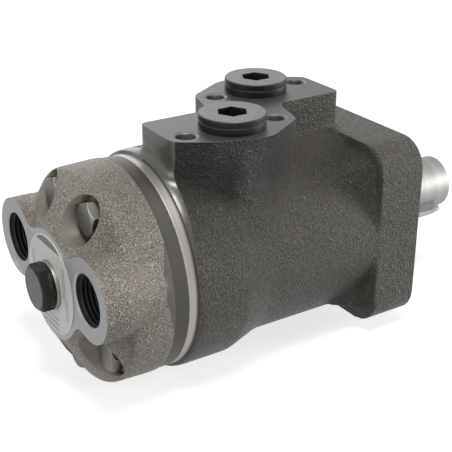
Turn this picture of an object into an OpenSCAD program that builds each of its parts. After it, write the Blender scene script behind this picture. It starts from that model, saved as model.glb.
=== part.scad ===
// Orbital hydraulic motor: a short fixed-ring gerotor that orbits at the back of a cast housing
// and turns a keyed output shaft, whose rear half is the spool that times the oil.
// Origin: centre of the flange face on the shaft axis. +X leaves through the shaft end, and
// +Z points up through the port pad. Millimetres.

/* [Flange and pilot] */
// Width of the square mounting flange
flange_w = 84.4; // [82:0.1:88]
// Corner radius of the flange
flange_corner_r = 13; // [10:0.5:15]
// Thickness of the flange
flange_t = 22.5; // [20:0.5:26]
// Diameter of the locating pilot
pilot_d = 44.4; // [42:0.1:46]
// Height of the pilot in front of the flange
pilot_h = 3; // [2:0.5:4]
// Circle through the four flange bolt holes
flange_bolt_circle = 82.5; // [80:0.5:84]
// Tapping diameter of the flange holes
flange_hole_d = 8.5; // [8:0.1:9]
// Depth of the flange holes
flange_hole_depth = 18; // [14:1:20]

/* [Housing] */
// Distance from the flange face to the gear set
housing_len = 115.4; // [113:0.1:118]
// Radius of the barrel
barrel_r = 42; // [41:0.1:42.2]
// Step of the collar round the gear set
collar_step = 1.9; // [1.5:0.1:3]
// Length of the cylindrical part of the collar
collar_len = 22.6; // [21:0.1:24]
// Length of the cone between collar and barrel
collar_cone_len = 16; // [12:0.1:20]
// Chamfer at the rear edge of the collar
collar_chamfer = 1.5; // [0.5:0.1:2]
// Distance that the corner webs reach behind the flange
web_len = 17; // [14:0.5:22]
// Distance of a web's ridge below the flange corner
web_drop = 6.4; // [3:0.1:8]
// Width of a corner web at the flange
web_w = 25; // [18:0.5:27]

/* [Port pad] */
// Height of the pad face over the shaft axis
pad_z = 58; // [56:0.1:60]
// Middle of the pad, measured forward from the gear set
pad_from_rear = 50.6; // [49:0.1:52]
// Middle of the pad, measured across
pad_mid_y = 0.5; // [0:0.1:1]
// Distance between the two side ports along the motor
port_pitch_x = 35.4; // [34:0.1:37]
// Distance between the two side ports across the motor
port_pitch_y = 35.4; // [34:0.1:37]
// Distance between the two tapped holes of one port
pad_hole_pitch = 42.4; // [41.5:0.1:43]
// Distance between the hole lines of the two ports
pad_line_pitch = 36.4; // [35:0.1:37]
// Offset of each hole line from its port along the motor
pad_hole_shift = 0.6; // [0:0.1:1]
// Diameter of the tapped pad holes
pad_hole_d = 6.8; // [6:0.1:7]
// Depth of the tapped pad holes
pad_hole_depth = 14; // [10:1:16]
// Countersink diameter of the pad holes
pad_sink_d = 9.4; // [8.2:0.1:9.8]

/* [Ports] */
// Wall diameter of the port bores
port_bore_d = 20.8; // [19.5:0.1:21]
// Depth of a side port
side_port_depth = 21; // [18:0.5:22]
// Depth of an end port
end_port_depth = 19; // [16:0.5:21]
// Radius from the shaft axis to an end port
end_port_r = 34; // [33:0.1:35]
// Diameter of the spot round each end port
end_port_spot_d = 22.8; // [22.2:0.1:27]
// Depth of the spot round each end port
end_port_spot = 0.7; // [0.5:0.1:2]

/* [Gear set] */
// Metal between the ring's lobes and its outer wall
gear_wall = 1; // [0.8:0.1:2]
// Thickness of the gear ring
ring_t = 6.5; // [6:0.1:8]
// Thickness of the spacer plate
spacer_t = 4; // [3.5:0.1:5]
// Radius of the circle through the ring's lobe centres
lobe_circle_r = 35; // [34.5:0.1:35.5]
// Radius of one ring lobe
lobe_r = 9; // [8.5:0.1:9.5]
// Distance between the star's and the ring's axes
orbit_r = 3; // [2.7:0.05:3.2]
// Flank clearance between star and ring
star_gap = 0.07; // [0.05:0.01:0.1]
// End clearance on each side of the star
star_side_gap = 0.03; // [0.02:0.01:0.05]

/* [Shaft and spool] */
// Diameter of the output shaft
shaft_d = 25; // [24:0.5:25.5]
// Length of the shaft in front of the flange
shaft_out = 49; // [46:0.5:55]
// Diameter under the shaft seal
seal_land_d = 28; // [27:0.5:29]
// Diameter of the spool
spool_d = 38; // [37:0.5:39]
// Inner diameter of the hollow spool
spool_bore_d = 28; // [27.5:0.5:29]
// Radial running clearance of the spool
spool_gap = 0.03; // [0.01:0.01:0.08]
// Width of the key
key_w = 8; // [7:0.5:8]
// Height of the key
key_h = 7; // [6:0.5:7]
// Length of the key
key_len = 32; // [24:1:36]
// Distance from the shaft end to the key
key_end_gap = 5.5; // [4:0.5:8]
// Height of the key's top over the shaft axis
key_top = 15.5; // [14.5:0.1:15.5]

/* [Cardan shaft] */
// Distance from the flange face to the front pivot
cardan_pivot_x = 55; // [53:0.5:58]
// Diameter of the cardan's shank
cardan_shank_d = 17; // [15:0.5:18]
// Number of spline teeth at each end
spline_teeth = 12; // [10:1:12]
// Tip diameter of the front spline
front_spline_d = 26.6; // [26:0.1:26.8]
// Length of the front spline
front_spline_len = 13; // [10:0.5:14]
// Tip diameter of the rear spline
rear_spline_d = 30; // [29:0.1:30.4]
// Height of a spline tooth
spline_h = 2; // [1.6:0.1:2.2]
// Flank clearance of the splines
spline_gap = 0.09; // [0.06:0.01:0.15]

/* [End cover] */
// Distance from the gear ring to the port face
cover_len = 31.1; // [30:0.1:33]
// Step of the cover round the gear ring
cover_step = 0.5; // [0.3:0.1:1]
// Draft of the cover up to its shoulder
cover_draft = 0.4; // [0.2:0.1:0.6]
// Radius of the round shoulder
cover_round_r = 3; // [2:0.5:5]
// Angle of the bevel behind the shoulder
cover_bevel = 52; // [45:1:58]
// Width of shoulder and bevel together
cover_bevel_w = 6.6; // [5:0.1:8]
// Radius of the boss round each end port
boss_r = 17; // [16:0.1:17.5]
// Radius of the plateau under the name disc
plateau_r = 22.3; // [21.5:0.1:23]
// Fillet between the plateau and the bosses
plateau_fillet_r = 9; // [6:0.5:12]
// Radius of the pockets round the bolt heads
pocket_r = 9.6; // [9.2:0.1:9.8]
// Distance from the port face to the bolt seats
bolt_seat_depth = 16; // [15:0.1:18]

/* [Fasteners and plugs] */
// Thread diameter of the cover bolts
bolt_d = 8; // [7:0.5:8]
// Width across flats of the bolt heads
bolt_af = 13; // [12:0.5:13]
// Height of the bolt heads
bolt_head_h = 5.3; // [5:0.1:6]
// Depth of the bolt threads in the housing
bolt_grip = 17; // [14:0.5:19]
// Outer diameter of the bolt washers
washer_d = 16; // [15:0.5:17]
// Thickness of the bolt washers
washer_t = 1.6; // [1.2:0.1:2]
// Head diameter of the side port plugs
plug_d = 27.4; // [26:0.1:28]
// Height of the plug head over its seal
plug_head_h = 5; // [4:0.1:6]
// Thickness of the plug seal
plug_seal_t = 1.1; // [0.8:0.1:1.5]
// Socket width across flats of the port plugs
plug_socket_af = 11.4; // [10:0.1:12]
// Socket depth of the port plugs
plug_socket_depth = 8; // [6:0.5:9]
// Distance that a port plug reaches into the housing
plug_reach = 13; // [11:0.5:15]
// Width across flats of the drain plug
drain_af = 17.5; // [16:0.5:19]
// Height of the drain plug head
drain_head_h = 5.9; // [5:0.1:7]
// Thickness of the round collar under the drain plug head
drain_collar_t = 1.8; // [1:0.1:2.5]
// Distance that the drain plug reaches into the cover
drain_reach = 12; // [10:0.5:13]
// Thread diameter of the drain plug
drain_d = 13; // [12:0.1:13.2]
// Outer diameter of the drain washer
drain_washer_d = 20; // [18.5:0.5:22]
// Thickness of the drain washer
drain_washer_t = 1.6; // [1.2:0.1:2]
// Outer diameter of the name disc
name_disc_d = 42; // [40:0.5:43]
// Thickness of the name disc
name_disc_t = 0.3; // [0.2:0.1:0.5]

/* [Hidden] */
$fn = 96;

// A cut runs this far past the face it opens
past = 1;

// Stations along the shaft axis
spacer_x = -housing_len;
ring_x = spacer_x - spacer_t;
cover_x = ring_x - ring_t;
port_face_x = cover_x - cover_len;
bolt_seat_x = port_face_x + bolt_seat_depth;
collar_front_x = spacer_x + collar_len;
barrel_rear_x = collar_front_x + collar_cone_len;
star_mid_x = ring_x - ring_t / 2;

// Lobes of the ring, counted from the one that points down. The star has one lobe fewer.
lobes = 7;
star_lobes = lobes - 1;
lobe_step = 360 / lobes;
lobe_angles = [for (i = [0:lobes - 1]) -90 + i * lobe_step];
// Two lobes carry the oil of the end ports, and the others carry the cover bolts
port_lobes = [2, 5];
bolt_lobes = [for (i = [0:lobes - 1]) if (i != port_lobes[0] && i != port_lobes[1]) i];
end_port_angles = [for (i = port_lobes) lobe_angles[i]];
// Angle at which each bolt head came to rest
bolt_turns = [10, 20, 0, 33, 43, 0, 15];
star_start = lobe_angles[0];
star_points = 24;
// Degrees by which the star's points draw together in its hollows
star_crowd = 6.7;

// Holes round the lobes, and the play of what sits in them
bolt_play = 0.3;
bolt_hole_r = bolt_d / 2 + bolt_play;
bolt_tip = 1;
bolt_overlap = 0.1;
washer_play = 0.1;
disc_play = 0.3;
channel_r = bolt_hole_r;
pilot_r = pilot_d / 2;
gear_r = lobe_circle_r + lobe_r + gear_wall;
collar_r = gear_r + collar_step;
cover_r = gear_r + cover_step;
cover_shoulder_r = cover_r - cover_draft;
cover_bevel_r = cover_shoulder_r - cover_bevel_w;
pad_mid_x = housing_len - pad_from_rear;
spool_r = spool_d / 2;
spool_hole_r = spool_r + spool_gap;
land_r = seal_land_d / 2;
port_r = port_bore_d / 2;
ring_root_r = lobe_circle_r - lobe_r + 2 * orbit_r + 0.2;
chamfer = 1;

// Seals and thrust bearing, from the front
seal_bore_r = pilot_r - 4.2;
seal_bore_depth = 19;
dust_seal_t = 4;
dust_seal_x = pilot_h - 0.5 - dust_seal_t;
shaft_seal_t = 9;
lip_gap = 0.05;
bearing_seat_x = -seal_bore_depth - 4;
race_t = 2;
needle_d = 2.4;
race_gap = needle_d + 0.1;
race_in_r = land_r + 0.2;
race_out_r = spool_r - 0.3;
front_race_x = bearing_seat_x - race_t;
rear_race_x = front_race_x - race_gap - race_t;
spool_front_x = rear_race_x;
spool_rear_x = spacer_x + 0.3;
needle_count = 20;
cage_t = 1.6;

// Splines
pivot_x = -cardan_pivot_x;
drive_len = pivot_x - star_mid_x;
drive_tilt = atan(orbit_r / drive_len);
tooth_pitch = 360 / spline_teeth;
front_tooth_w = 3.2;
rear_tooth_w = 3.7;
tip_gap = 0.3;
front_slot_r = front_spline_d / 2 + tip_gap;
rear_slot_r = rear_spline_d / 2 + tip_gap;
front_tooth_in_r = front_slot_r - spline_h;
rear_tooth_in_r = rear_slot_r - spline_h;
crown_rate = tan(drive_tilt) * 1.15;
spool_spline_x = pivot_x - front_spline_len / 2 - 1;
spool_spline_end = pivot_x + front_spline_len / 2 + 1;
cardan_tail = 5.2;

// Space behind the star
recess_depth = 6.6;
recess_r = rear_spline_d / 2 + orbit_r + 0.5;
drive_spacer_r = recess_r - orbit_r - 0.8;
drive_spacer_t = 4;

// Galleries: one annular groove round the spool for each port, and the timing row between them
gallery_w = 9;
gallery_r = spool_r + 4;
side_port_x = [-pad_mid_x - port_pitch_x / 2, -pad_mid_x + port_pitch_x / 2];
side_port_y = [-port_pitch_y / 2, port_pitch_y / 2];
timing_x = -pad_mid_x;
channel_len = 18;
timing_r = 29.5;
timing_hole_r = 2.5;
spool_groove = 1.8;
riser_r = 4.5;
riser_y = 14.5;
port_boss_r = 16.5;
port_boss_draft = 0.15;

// Check valves, on the radius between the spool and the oil channels
valve_r = 25;
valve_bore_r = 3;
valve_seat_in = 12.4;
valve_seat_x = spacer_x + valve_seat_in;
valve_hole_r = 1.6;
ball_r = 2.6;
ball_play = 0.02;
ball_x = valve_seat_x - sqrt(ball_r * ball_r - valve_hole_r * valve_hole_r) - ball_play;
valve_plug_t = 2.5;
valve_plug_in = 1.7;
valve_plug_x = spacer_x + valve_plug_in;
drain_slot = 1.5;
spring_wire_r = 0.35;
spring_r = 2.2;
spring_turns = 3.5;
spring_gap = 0.05;
spring_ball_gap = 0.25;

// Grooves for the O-rings between housing, spacer plate, ring and cover
seal_mid_r = gear_r - 2.7;
seal_wire_r = 0.75;
seal_groove_w = 1.8;
seal_groove_d = 2 * seal_wire_r;

// Colours
cast_dark = [0.33, 0.32, 0.31];
cast_light = [0.47, 0.44, 0.41];
steel = [0.72, 0.72, 0.72];
dark_steel = [0.30, 0.29, 0.28];
gold = [0.80, 0.62, 0.25];
rubber = [0.08, 0.08, 0.08];

// Points of an arc round c, from angle a0 to angle a1 in n steps
function arc(c, r, a0, a1, n) =
    [for (i = [0:n]) let (a = a0 + (a1 - a0) * i / n) c + r * [cos(a), sin(a)]];

function unit(v) = v / norm(v);
function heading(p, q) = atan2(q.y - p.y, q.x - p.x);

// Angle a moved by whole turns until it lies less than one turn after a0
function after(a, a0) = a0 + ((a - a0) % 360 + 360) % 360;

// The corner p1 of a polygon, rounded to radius r
function corner(p0, p1, p2, r, n) =
    let (
        u = unit(p0 - p1),
        v = unit(p2 - p1),
        half = acos(u * v) / 2,
        c = p1 + unit(u + v) * r / sin(half),
        a0 = heading(c, p1 + u * r / tan(half)),
        a1 = heading(c, p1 + v * r / tan(half)),
        turn = (a1 - a0 + 540) % 360 - 180
    )
    arc(c, r, a0, a0 + turn, n);

// A polygon whose corners [x, y, radius] are all rounded
function rounded(p, n = 6) =
    let (m = len(p))
    [
        for (i = [0:m - 1])
            let (a = p[(i + m - 1) % m], b = p[i], c = p[(i + 1) % m])
            each corner([a.x, a.y], [b.x, b.y], [c.x, c.y], b.z, n)
    ];

// Where circles of radius r0 round the origin and r1 round c meet, on the side given by side
function meet(r0, c, r1, side) =
    let (
        d = norm(c),
        along = (d * d + r0 * r0 - r1 * r1) / (2 * d),
        up = sqrt(r0 * r0 - along * along),
        u = c / d
    )
    along * u + side * up * [-u.y, u.x];

// Local x, y and z become Y, Z and X, at station x
module along_x(x = 0) {
    translate([x, 0, 0]) rotate([90, 0, 90]) children();
}

// A solid of revolution round the shaft axis, from points [radius, x]
module turned(points) {
    along_x() rotate_extrude() polygon(points);
}

// A rod along the shaft axis direction from x0 to x1, at radius off and angle a
module rod(x0, x1, r, off = 0, a = 0) {
    along_x(min(x0, x1)) rotate(a) translate([off, 0, 0]) cylinder(h = abs(x1 - x0), r = r);
}

module tube(x0, x1, r_in, r_out) {
    turned([[r_in, x0], [r_out, x0], [r_out, x1], [r_in, x1]]);
}

// A drilling between two stations of the plane at angle a: from radius r0 at x0 to radius r1 at x1
module drilling(a, r0, x0, r1, x1, r) {
    run = [x1 - x0, r1 - r0];
    rotate([a, 0, 0])
        translate([x0, r0, 0])
            rotate([0, 0, atan2(run.y, run.x)])
                rotate([0, 90, 0])
                    cylinder(h = norm(run), r = r);
}

// Children at each of the given angles round the shaft axis
module at_angles(angles) {
    for (a = angles) rotate([a, 0, 0]) children();
}

module housing_barrel() {
    turned([
        [0, spacer_x],
        [collar_r - collar_chamfer, spacer_x],
        [collar_r, spacer_x + collar_chamfer],
        [collar_r, collar_front_x],
        [barrel_r, barrel_rear_x],
        [barrel_r, -flange_t + 1],
        [0, -flange_t + 1]
    ]);
}

module flange_plate() {
    half = flange_w / 2;
    along_x(-flange_t)
        linear_extrude(flange_t)
            polygon(rounded([for (s = [[1, 1], [-1, 1], [-1, -1], [1, -1]])
                [s.x * half, s.y * half, flange_corner_r]]));
    rod(0, pilot_h, pilot_r);
}

// A web behind one flange corner: a ridge that falls to the barrel in one hollow arc and widens to the flange
module corner_web() {
    ridge_r = flange_w / sqrt(2) - flange_corner_r * (sqrt(2) - 1) - web_drop;
    root_r = barrel_r - 8;
    ridge_w = 2;
    foot = [-flange_t - web_len, barrel_r + 0.3];
    head = [-flange_t + 1, ridge_r];
    bow_r = norm(head - foot) * 6;
    u = unit(head - foot);
    c = (foot + head) / 2 + sqrt(bow_r * bow_r - pow(norm(head - foot) / 2, 2)) * [-u.y, u.x];
    a0 = heading(c, foot);
    turn = (heading(c, head) - a0 + 540) % 360 - 180;
    rotate([45, 0, 0])
        intersection() {
            translate([0, 0, -web_w])
                linear_extrude(2 * web_w)
                    polygon(concat(arc(c, bow_r, a0, a0 + turn, 10), [[head.x, root_r], [foot.x, root_r]]));
            rotate([90, 0, 0])
                translate([0, 0, -2 * barrel_r])
                    linear_extrude(4 * barrel_r)
                        polygon([
                            [foot.x, -ridge_w / 2],
                            [head.x, -web_w / 2],
                            [head.x, web_w / 2],
                            [foot.x, ridge_w / 2]
                        ]);
            along_x(foot.x)
                linear_extrude(head.x - foot.x)
                    polygon([
                        [root_r, -web_w * 0.8],
                        [ridge_r + 0.1, -ridge_w / 2],
                        [ridge_r + 0.1, ridge_w / 2],
                        [root_r, web_w * 0.8]
                    ]);
        }
}

// Outline of the port pad: one lobe, and the same lobe turned half round
function pad_lobe(s) = [
    [s * -47.6, s * 4.4, 2.5],
    [s * -47.6, s * -22, 6],
    [s * -34, s * -30.5, 14],
    [s * -12, s * -37.5, 12],
    [s * 9.5, s * -24.5, 5],
    [s * 15, s * -4.2, 4.5]
];

module port_pad() {
    translate([-pad_mid_x, pad_mid_y, 0])
        linear_extrude(pad_z)
            polygon(rounded(concat(pad_lobe(1), pad_lobe(-1))));
    // A drafted boss round each side port, which leaves the pad's wall lower down
    boss_z = 8;
    for (i = [0, 1])
        translate([side_port_x[i], side_port_y[i], boss_z])
            cylinder(h = pad_z - boss_z - 1, r1 = port_boss_r + (pad_z - boss_z) * port_boss_draft, r2 = port_boss_r);
}

module side_port(i) {
    translate([side_port_x[i], side_port_y[i], pad_z - side_port_depth])
        cylinder(h = side_port_depth + past, r = port_r);
    translate([side_port_x[i], sign(side_port_y[i]) * riser_y, spool_r - 3])
        cylinder(h = pad_z - side_port_depth - spool_r + 4, r = riser_r);
}

// The two tapped holes of one port, each with a countersink
module pad_holes(i) {
    shift = (i == 0 ? -1 : 1) * pad_hole_shift;
    for (s = [-1, 1])
        translate([
            -pad_mid_x + (i == 0 ? -1 : 1) * pad_hole_pitch_mid() + s * pad_hole_pitch / 2 + shift,
            (i == 0 ? -1 : 1) * pad_line_pitch / 2,
            pad_z
        ]) {
            translate([0, 0, -pad_hole_depth])
                cylinder(h = pad_hole_depth + past, d = pad_hole_d);
            cone_h = (pad_sink_d - pad_hole_d) / 2;
            translate([0, 0, -cone_h])
                cylinder(h = cone_h + 0.01, d1 = pad_hole_d, d2 = pad_sink_d + 0.02);
        }
}

function pad_hole_pitch_mid() = port_pitch_x / 2;

// Bore of the spool with its galleries, and the seats of bearing and seals in front of it
module spool_bore() {
    rod(spacer_x - past, bearing_seat_x, spool_hole_r);
    rod(bearing_seat_x - past, pilot_h + past, land_r + 0.5);
    rod(-seal_bore_depth, pilot_h + past, seal_bore_r);
    for (x = side_port_x) tube(x - gallery_w / 2, x + gallery_w / 2, spool_r - 1, gallery_r);
}

// Seven channels that lead the oil from the timing row to the gear set
module timing_channels() {
    at_angles([for (a = lobe_angles) a + lobe_step / 2]) {
        rod(spacer_x - past, timing_x, timing_hole_r, timing_r);
        translate([timing_x, spool_r - 1, 0])
            rotate([-90, 0, 0])
                cylinder(h = timing_r - spool_r + 1, r = timing_hole_r);
    }
}

// Oil channels of the end ports, each led on to the gallery of its side port
module end_port_channels() {
    turn_x = spacer_x + channel_len;
    for (i = [0, 1]) {
        rod(spacer_x - past, turn_x, channel_r, lobe_circle_r, end_port_angles[i]);
        drilling(end_port_angles[i], lobe_circle_r, turn_x, gallery_r - 1, side_port_x[1 - i], channel_r - 0.8);
    }
}

// One check valve: bore, seat, cross drilling to the oil channel and drain slot to the spool
module check_valve_bore(a) {
    cross_x = valve_seat_x + 5;
    rod(spacer_x - past, valve_seat_x, valve_bore_r, valve_r, a);
    rod(valve_seat_x - past, cross_x, valve_hole_r, valve_r, a);
    drilling(a, valve_r, cross_x, lobe_circle_r, cross_x, valve_hole_r);
    rotate([a, 0, 0])
        translate([spacer_x - past, spool_r - 1, -valve_hole_r])
            cube([drain_slot + past, valve_r - spool_r + 1, 2 * valve_hole_r]);
}

// Groove for an O-ring that opens towards -X at station x
module seal_groove(x) {
    tube(x - past, x + seal_groove_d, seal_mid_r - seal_groove_w / 2, seal_mid_r + seal_groove_w / 2);
}

module housing() {
    color(cast_dark)
        difference() {
            union() {
                flange_plate();
                housing_barrel();
                at_angles([0, 90, 180, 270]) corner_web();
                port_pad();
            }
            spool_bore();
            for (i = [0, 1]) {
                side_port(i);
                pad_holes(i);
            }
            timing_channels();
            end_port_channels();
            for (a = end_port_angles) check_valve_bore(a);
            for (i = bolt_lobes)
                rod(spacer_x - past, spacer_x + bolt_grip + 3, bolt_d / 2, lobe_circle_r, lobe_angles[i]);
            at_angles([45, 135, 225, 315])
                rod(-flange_hole_depth, past, flange_hole_d / 2, flange_bolt_circle / 2);
            seal_groove(spacer_x);
        }
}

// Slots of an internal spline from x0 to x1, with parallel flanks
module spline_slots(x0, x1, tip_r, width) {
    at_angles([for (i = [0:spline_teeth - 1]) i * tooth_pitch])
        translate([x0, -width / 2, 0])
            cube([x1 - x0, width, tip_r]);
}

// Two rows of spool slots that reach past each other between the grooves
module spool_slots() {
    slot_w = 4;
    reach = 4;
    for (i = [0, 1]) {
        x = side_port_x[i];
        near_x = timing_x + (i == 0 ? reach : -reach);
        tube(x - gallery_w / 2, x + gallery_w / 2, spool_r - spool_groove, spool_r + past);
        at_angles([for (k = [0:star_lobes - 1]) (k + i / 2) * 360 / star_lobes])
            translate([min(x, near_x), -slot_w / 2, spool_r - spool_groove])
                cube([abs(near_x - x), slot_w, spool_groove + past]);
    }
}

// Keyway and key share one outline: straight sides and round ends
module key_block(h0, h1) {
    x1 = shaft_out - key_end_gap - key_w / 2;
    x0 = shaft_out - key_end_gap - key_len + key_w / 2;
    rotate([135, 0, 0])
        translate([0, 0, h0])
            linear_extrude(h1 - h0) {
                translate([x0, -key_w / 2]) square([x1 - x0, key_w]);
                for (x = [x0, x1]) translate([x, 0]) circle(d = key_w);
            }
}

module output_shaft() {
    shaft_r = shaft_d / 2;
    bore_r = spool_bore_d / 2;
    tip_x = spool_spline_end + front_tooth_in_r * 0.6;
    color(steel)
        difference() {
            turned([
                [0, spool_rear_x],
                [spool_r - chamfer / 2, spool_rear_x],
                [spool_r, spool_rear_x + chamfer / 2],
                [spool_r, spool_front_x],
                [land_r, spool_front_x],
                [land_r, dust_seal_x - 1 - (land_r - shaft_r)],
                [shaft_r, dust_seal_x - 1],
                [shaft_r, shaft_out - chamfer],
                [shaft_r - chamfer, shaft_out],
                [0, shaft_out]
            ]);
            turned([
                [0, spool_rear_x - past],
                [bore_r, spool_rear_x - past],
                [bore_r, spool_spline_x],
                [front_tooth_in_r, spool_spline_x + bore_r - front_tooth_in_r],
                [front_tooth_in_r, spool_spline_end],
                [0, tip_x]
            ]);
            spline_slots(spool_spline_x - 1, spool_spline_end, front_slot_r, front_tooth_w + 2 * spline_gap);
            spool_slots();
            key_block(key_top - key_h, key_top + past);
        }
}

module shaft_key() {
    color(steel) key_block(key_top - key_h, key_top);
}

module dust_seal() {
    lip_r = shaft_d / 2 + lip_gap;
    color(rubber)
        turned([
            [lip_r, dust_seal_x + 1],
            [lip_r + 2, dust_seal_x],
            [seal_bore_r, dust_seal_x],
            [seal_bore_r, dust_seal_x + dust_seal_t],
            [lip_r + 2.4, dust_seal_x + dust_seal_t],
            [lip_r + 1.2, dust_seal_x + dust_seal_t - 1.2],
            [lip_r, dust_seal_x + dust_seal_t]
        ]);
}

// The seal's cup opens to the oil, with its lip on the shaft
module shaft_seal() {
    lip_r = land_r + lip_gap;
    x0 = -seal_bore_depth;
    x1 = x0 + shaft_seal_t;
    color(rubber)
        turned([
            [lip_r, x0 + 1],
            [lip_r + 1, x0],
            [lip_r + 1.4, x0 + 4.5],
            [seal_bore_r - 1, x0 + 4.5],
            [seal_bore_r - 1, x0],
            [seal_bore_r, x0],
            [seal_bore_r, x1],
            [lip_r + 1.5, x1],
            [lip_r, x0 + 3]
        ]);
}

module thrust_race_front() {
    color(steel) tube(front_race_x, bearing_seat_x, race_in_r, race_out_r);
}

module thrust_race_rear() {
    color(steel) tube(rear_race_x, rear_race_x + race_t, race_in_r, race_out_r);
}

module needle(r, grow = 0) {
    mid_x = front_race_x - race_gap / 2;
    length = race_out_r - race_in_r - 1.2 + 2 * grow;
    translate([mid_x, (race_in_r + race_out_r - length) / 2, 0])
        rotate([-90, 0, 0])
            cylinder(h = length, r = r, $fn = 24);
}

module bearing_cage() {
    mid_x = front_race_x - race_gap / 2;
    color(gold)
        difference() {
            tube(mid_x - cage_t / 2, mid_x + cage_t / 2, race_in_r, race_out_r);
            at_angles([for (i = [0:needle_count - 1]) i * 360 / needle_count])
                needle(needle_d / 2 + 0.05, 0.05);
        }
}

module bearing_needles() {
    color(steel)
        at_angles([for (i = [0:needle_count - 1]) i * 360 / needle_count])
            needle(needle_d / 2);
}

// A crowned spline: the teeth are barrels seen from outside and from the side
module crowned_spline(tip_r, tooth_w, length, root_r) {
    half = length / 2;
    sag = half * crown_rate;
    crown_r = (half * half + sag * sag) / (2 * sag);
    fan = asin(half / crown_r);
    intersection() {
        rotate_extrude()
            polygon(concat(
                [[0, -half]],
                arc([tip_r - crown_r, 0], crown_r, -fan, fan, 10),
                [[0, half]]
            ));
        union() {
            rotate_extrude()
                polygon(concat(
                    [[0, -half]],
                    arc([root_r - crown_r, 0], crown_r, -fan, fan, 10),
                    [[0, half]]
                ));
            for (i = [0:spline_teeth - 1])
                rotate(i * tooth_pitch)
                    rotate([0, 90, 0])
                        linear_extrude(tip_r + 1)
                            polygon(concat(
                                arc([0, tooth_w / 2 - crown_r], crown_r, 90 - fan, 90 + fan, 8),
                                arc([0, crown_r - tooth_w / 2], crown_r, 270 - fan, 270 + fan, 8)
                            ));
        }
    }
}

// Local z runs from the front pivot to the centre of the star
module on_cardan_axis() {
    translate([pivot_x, 0, 0]) rotate([0, drive_tilt - 90, 0]) children();
}

module cardan_shaft() {
    reach = norm([drive_len, orbit_r]);
    shank_r = cardan_shank_d / 2;
    front_half = front_spline_len / 2;
    rear_half = ring_t / 2 + 0.4;
    front_root = front_tooth_in_r - 0.45;
    rear_root = rear_tooth_in_r - 0.35;
    neck = front_root - 1;
    color(dark_steel)
        on_cardan_axis() {
            crowned_spline(front_spline_d / 2, front_tooth_w, front_spline_len, front_root);
            translate([0, 0, reach])
                crowned_spline(rear_spline_d / 2, rear_tooth_w, 2 * rear_half, rear_root);
            rotate_extrude()
                polygon([
                    [0, -front_half - 2],
                    [neck - 3, -front_half - 2],
                    [neck, -front_half + 1],
                    [neck, front_half - 1],
                    [shank_r, front_half + 4],
                    [shank_r, reach - rear_half - 4],
                    [rear_root - 1, reach - rear_half + 0.6],
                    [rear_root - 1, reach + rear_half - 0.6],
                    [shank_r - 2, reach + rear_half + 1],
                    [3, reach + cardan_tail],
                    [0, reach + cardan_tail]
                ]);
        }
}

module check_ball(a) {
    color(steel) rotate([a, 0, 0]) translate([ball_x, valve_r, 0]) sphere(r = ball_r, $fn = 48);
}

module check_ball_left() {
    check_ball(end_port_angles[1]);
}

module check_ball_right() {
    check_ball(end_port_angles[0]);
}

// A coil along +X: rings of six points joined by quads, with flat ends
module coil(x0, x1, r, wire_r, turns) {
    steps = round(turns * 16);
    sides = 6;
    ring = function(i)
        let (a = 360 * turns * i / steps, x = x0 + (x1 - x0) * i / steps)
        [
            for (k = [0:sides - 1])
                let (b = 360 * k / sides, rr = r + wire_r * cos(b))
                [x + wire_r * sin(b), rr * cos(a), rr * sin(a)]
        ];
    quads = [
        for (i = [0:steps - 1], k = [0:sides - 1])
            let (n = (k + 1) % sides)
            [i * sides + k, (i + 1) * sides + k, (i + 1) * sides + n, i * sides + n]
    ];
    polyhedron(
        points = [for (i = [0:steps]) each ring(i)],
        faces = concat(
            quads,
            [[for (k = [0:sides - 1]) k]],
            [[for (k = [0:sides - 1]) steps * sides + sides - 1 - k]]
        )
    );
}

module check_springs() {
    x0 = valve_plug_x + valve_plug_t + spring_wire_r + spring_gap;
    x1 = ball_x - sqrt(ball_r * ball_r - spring_r * spring_r) - spring_wire_r - spring_ball_gap;
    color(steel)
        at_angles(end_port_angles)
            translate([0, valve_r, 0]) coil(x0, x1, spring_r, spring_wire_r, spring_turns);
}

module check_plugs() {
    color(steel)
        for (a = end_port_angles)
            difference() {
                rod(valve_plug_x, valve_plug_x + valve_plug_t, valve_bore_r, valve_r, a);
                rod(valve_plug_x - past, valve_plug_x + valve_plug_t + past, 1.2, valve_r, a);
            }
}

// Holes that run through every plate of the gear set
module lobe_holes(x0, x1) {
    for (a = lobe_angles) rod(x0, x1, bolt_hole_r, lobe_circle_r, a);
}

module spacer_plate() {
    color(steel)
        difference() {
            rod(ring_x, spacer_x, gear_r);
            rod(ring_x - past, spacer_x + past, recess_r);
            lobe_holes(ring_x - past, spacer_x + past);
            for (a = lobe_angles)
                rod(ring_x - past, spacer_x + past, timing_hole_r, timing_r, a + lobe_step / 2);
        }
}

module gear_ring() {
    color(dark_steel)
        difference() {
            rod(cover_x, ring_x, gear_r);
            difference() {
                rod(cover_x - past, ring_x + past, ring_root_r);
                for (a = lobe_angles) rod(cover_x - 2, ring_x + 2, lobe_r, lobe_circle_r, a);
            }
            lobe_holes(cover_x - past, ring_x + past);
            tube(ring_x - seal_groove_d, ring_x + past, seal_mid_r - seal_groove_w / 2, seal_mid_r + seal_groove_w / 2);
        }
}

// One point of the star: the path of a lobe centre seen from the star, moved in by the lobe's radius
function star_point(t) =
    let (
        path = lobe_circle_r * [cos(t), sin(t)] + orbit_r * [cos(lobes * t), sin(lobes * t)],
        inward = -[
            lobe_circle_r * cos(t) + lobes * orbit_r * cos(lobes * t),
            lobe_circle_r * sin(t) + lobes * orbit_r * sin(lobes * t)
        ]
    )
    path + unit(inward) * (lobe_r + star_gap);

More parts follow.
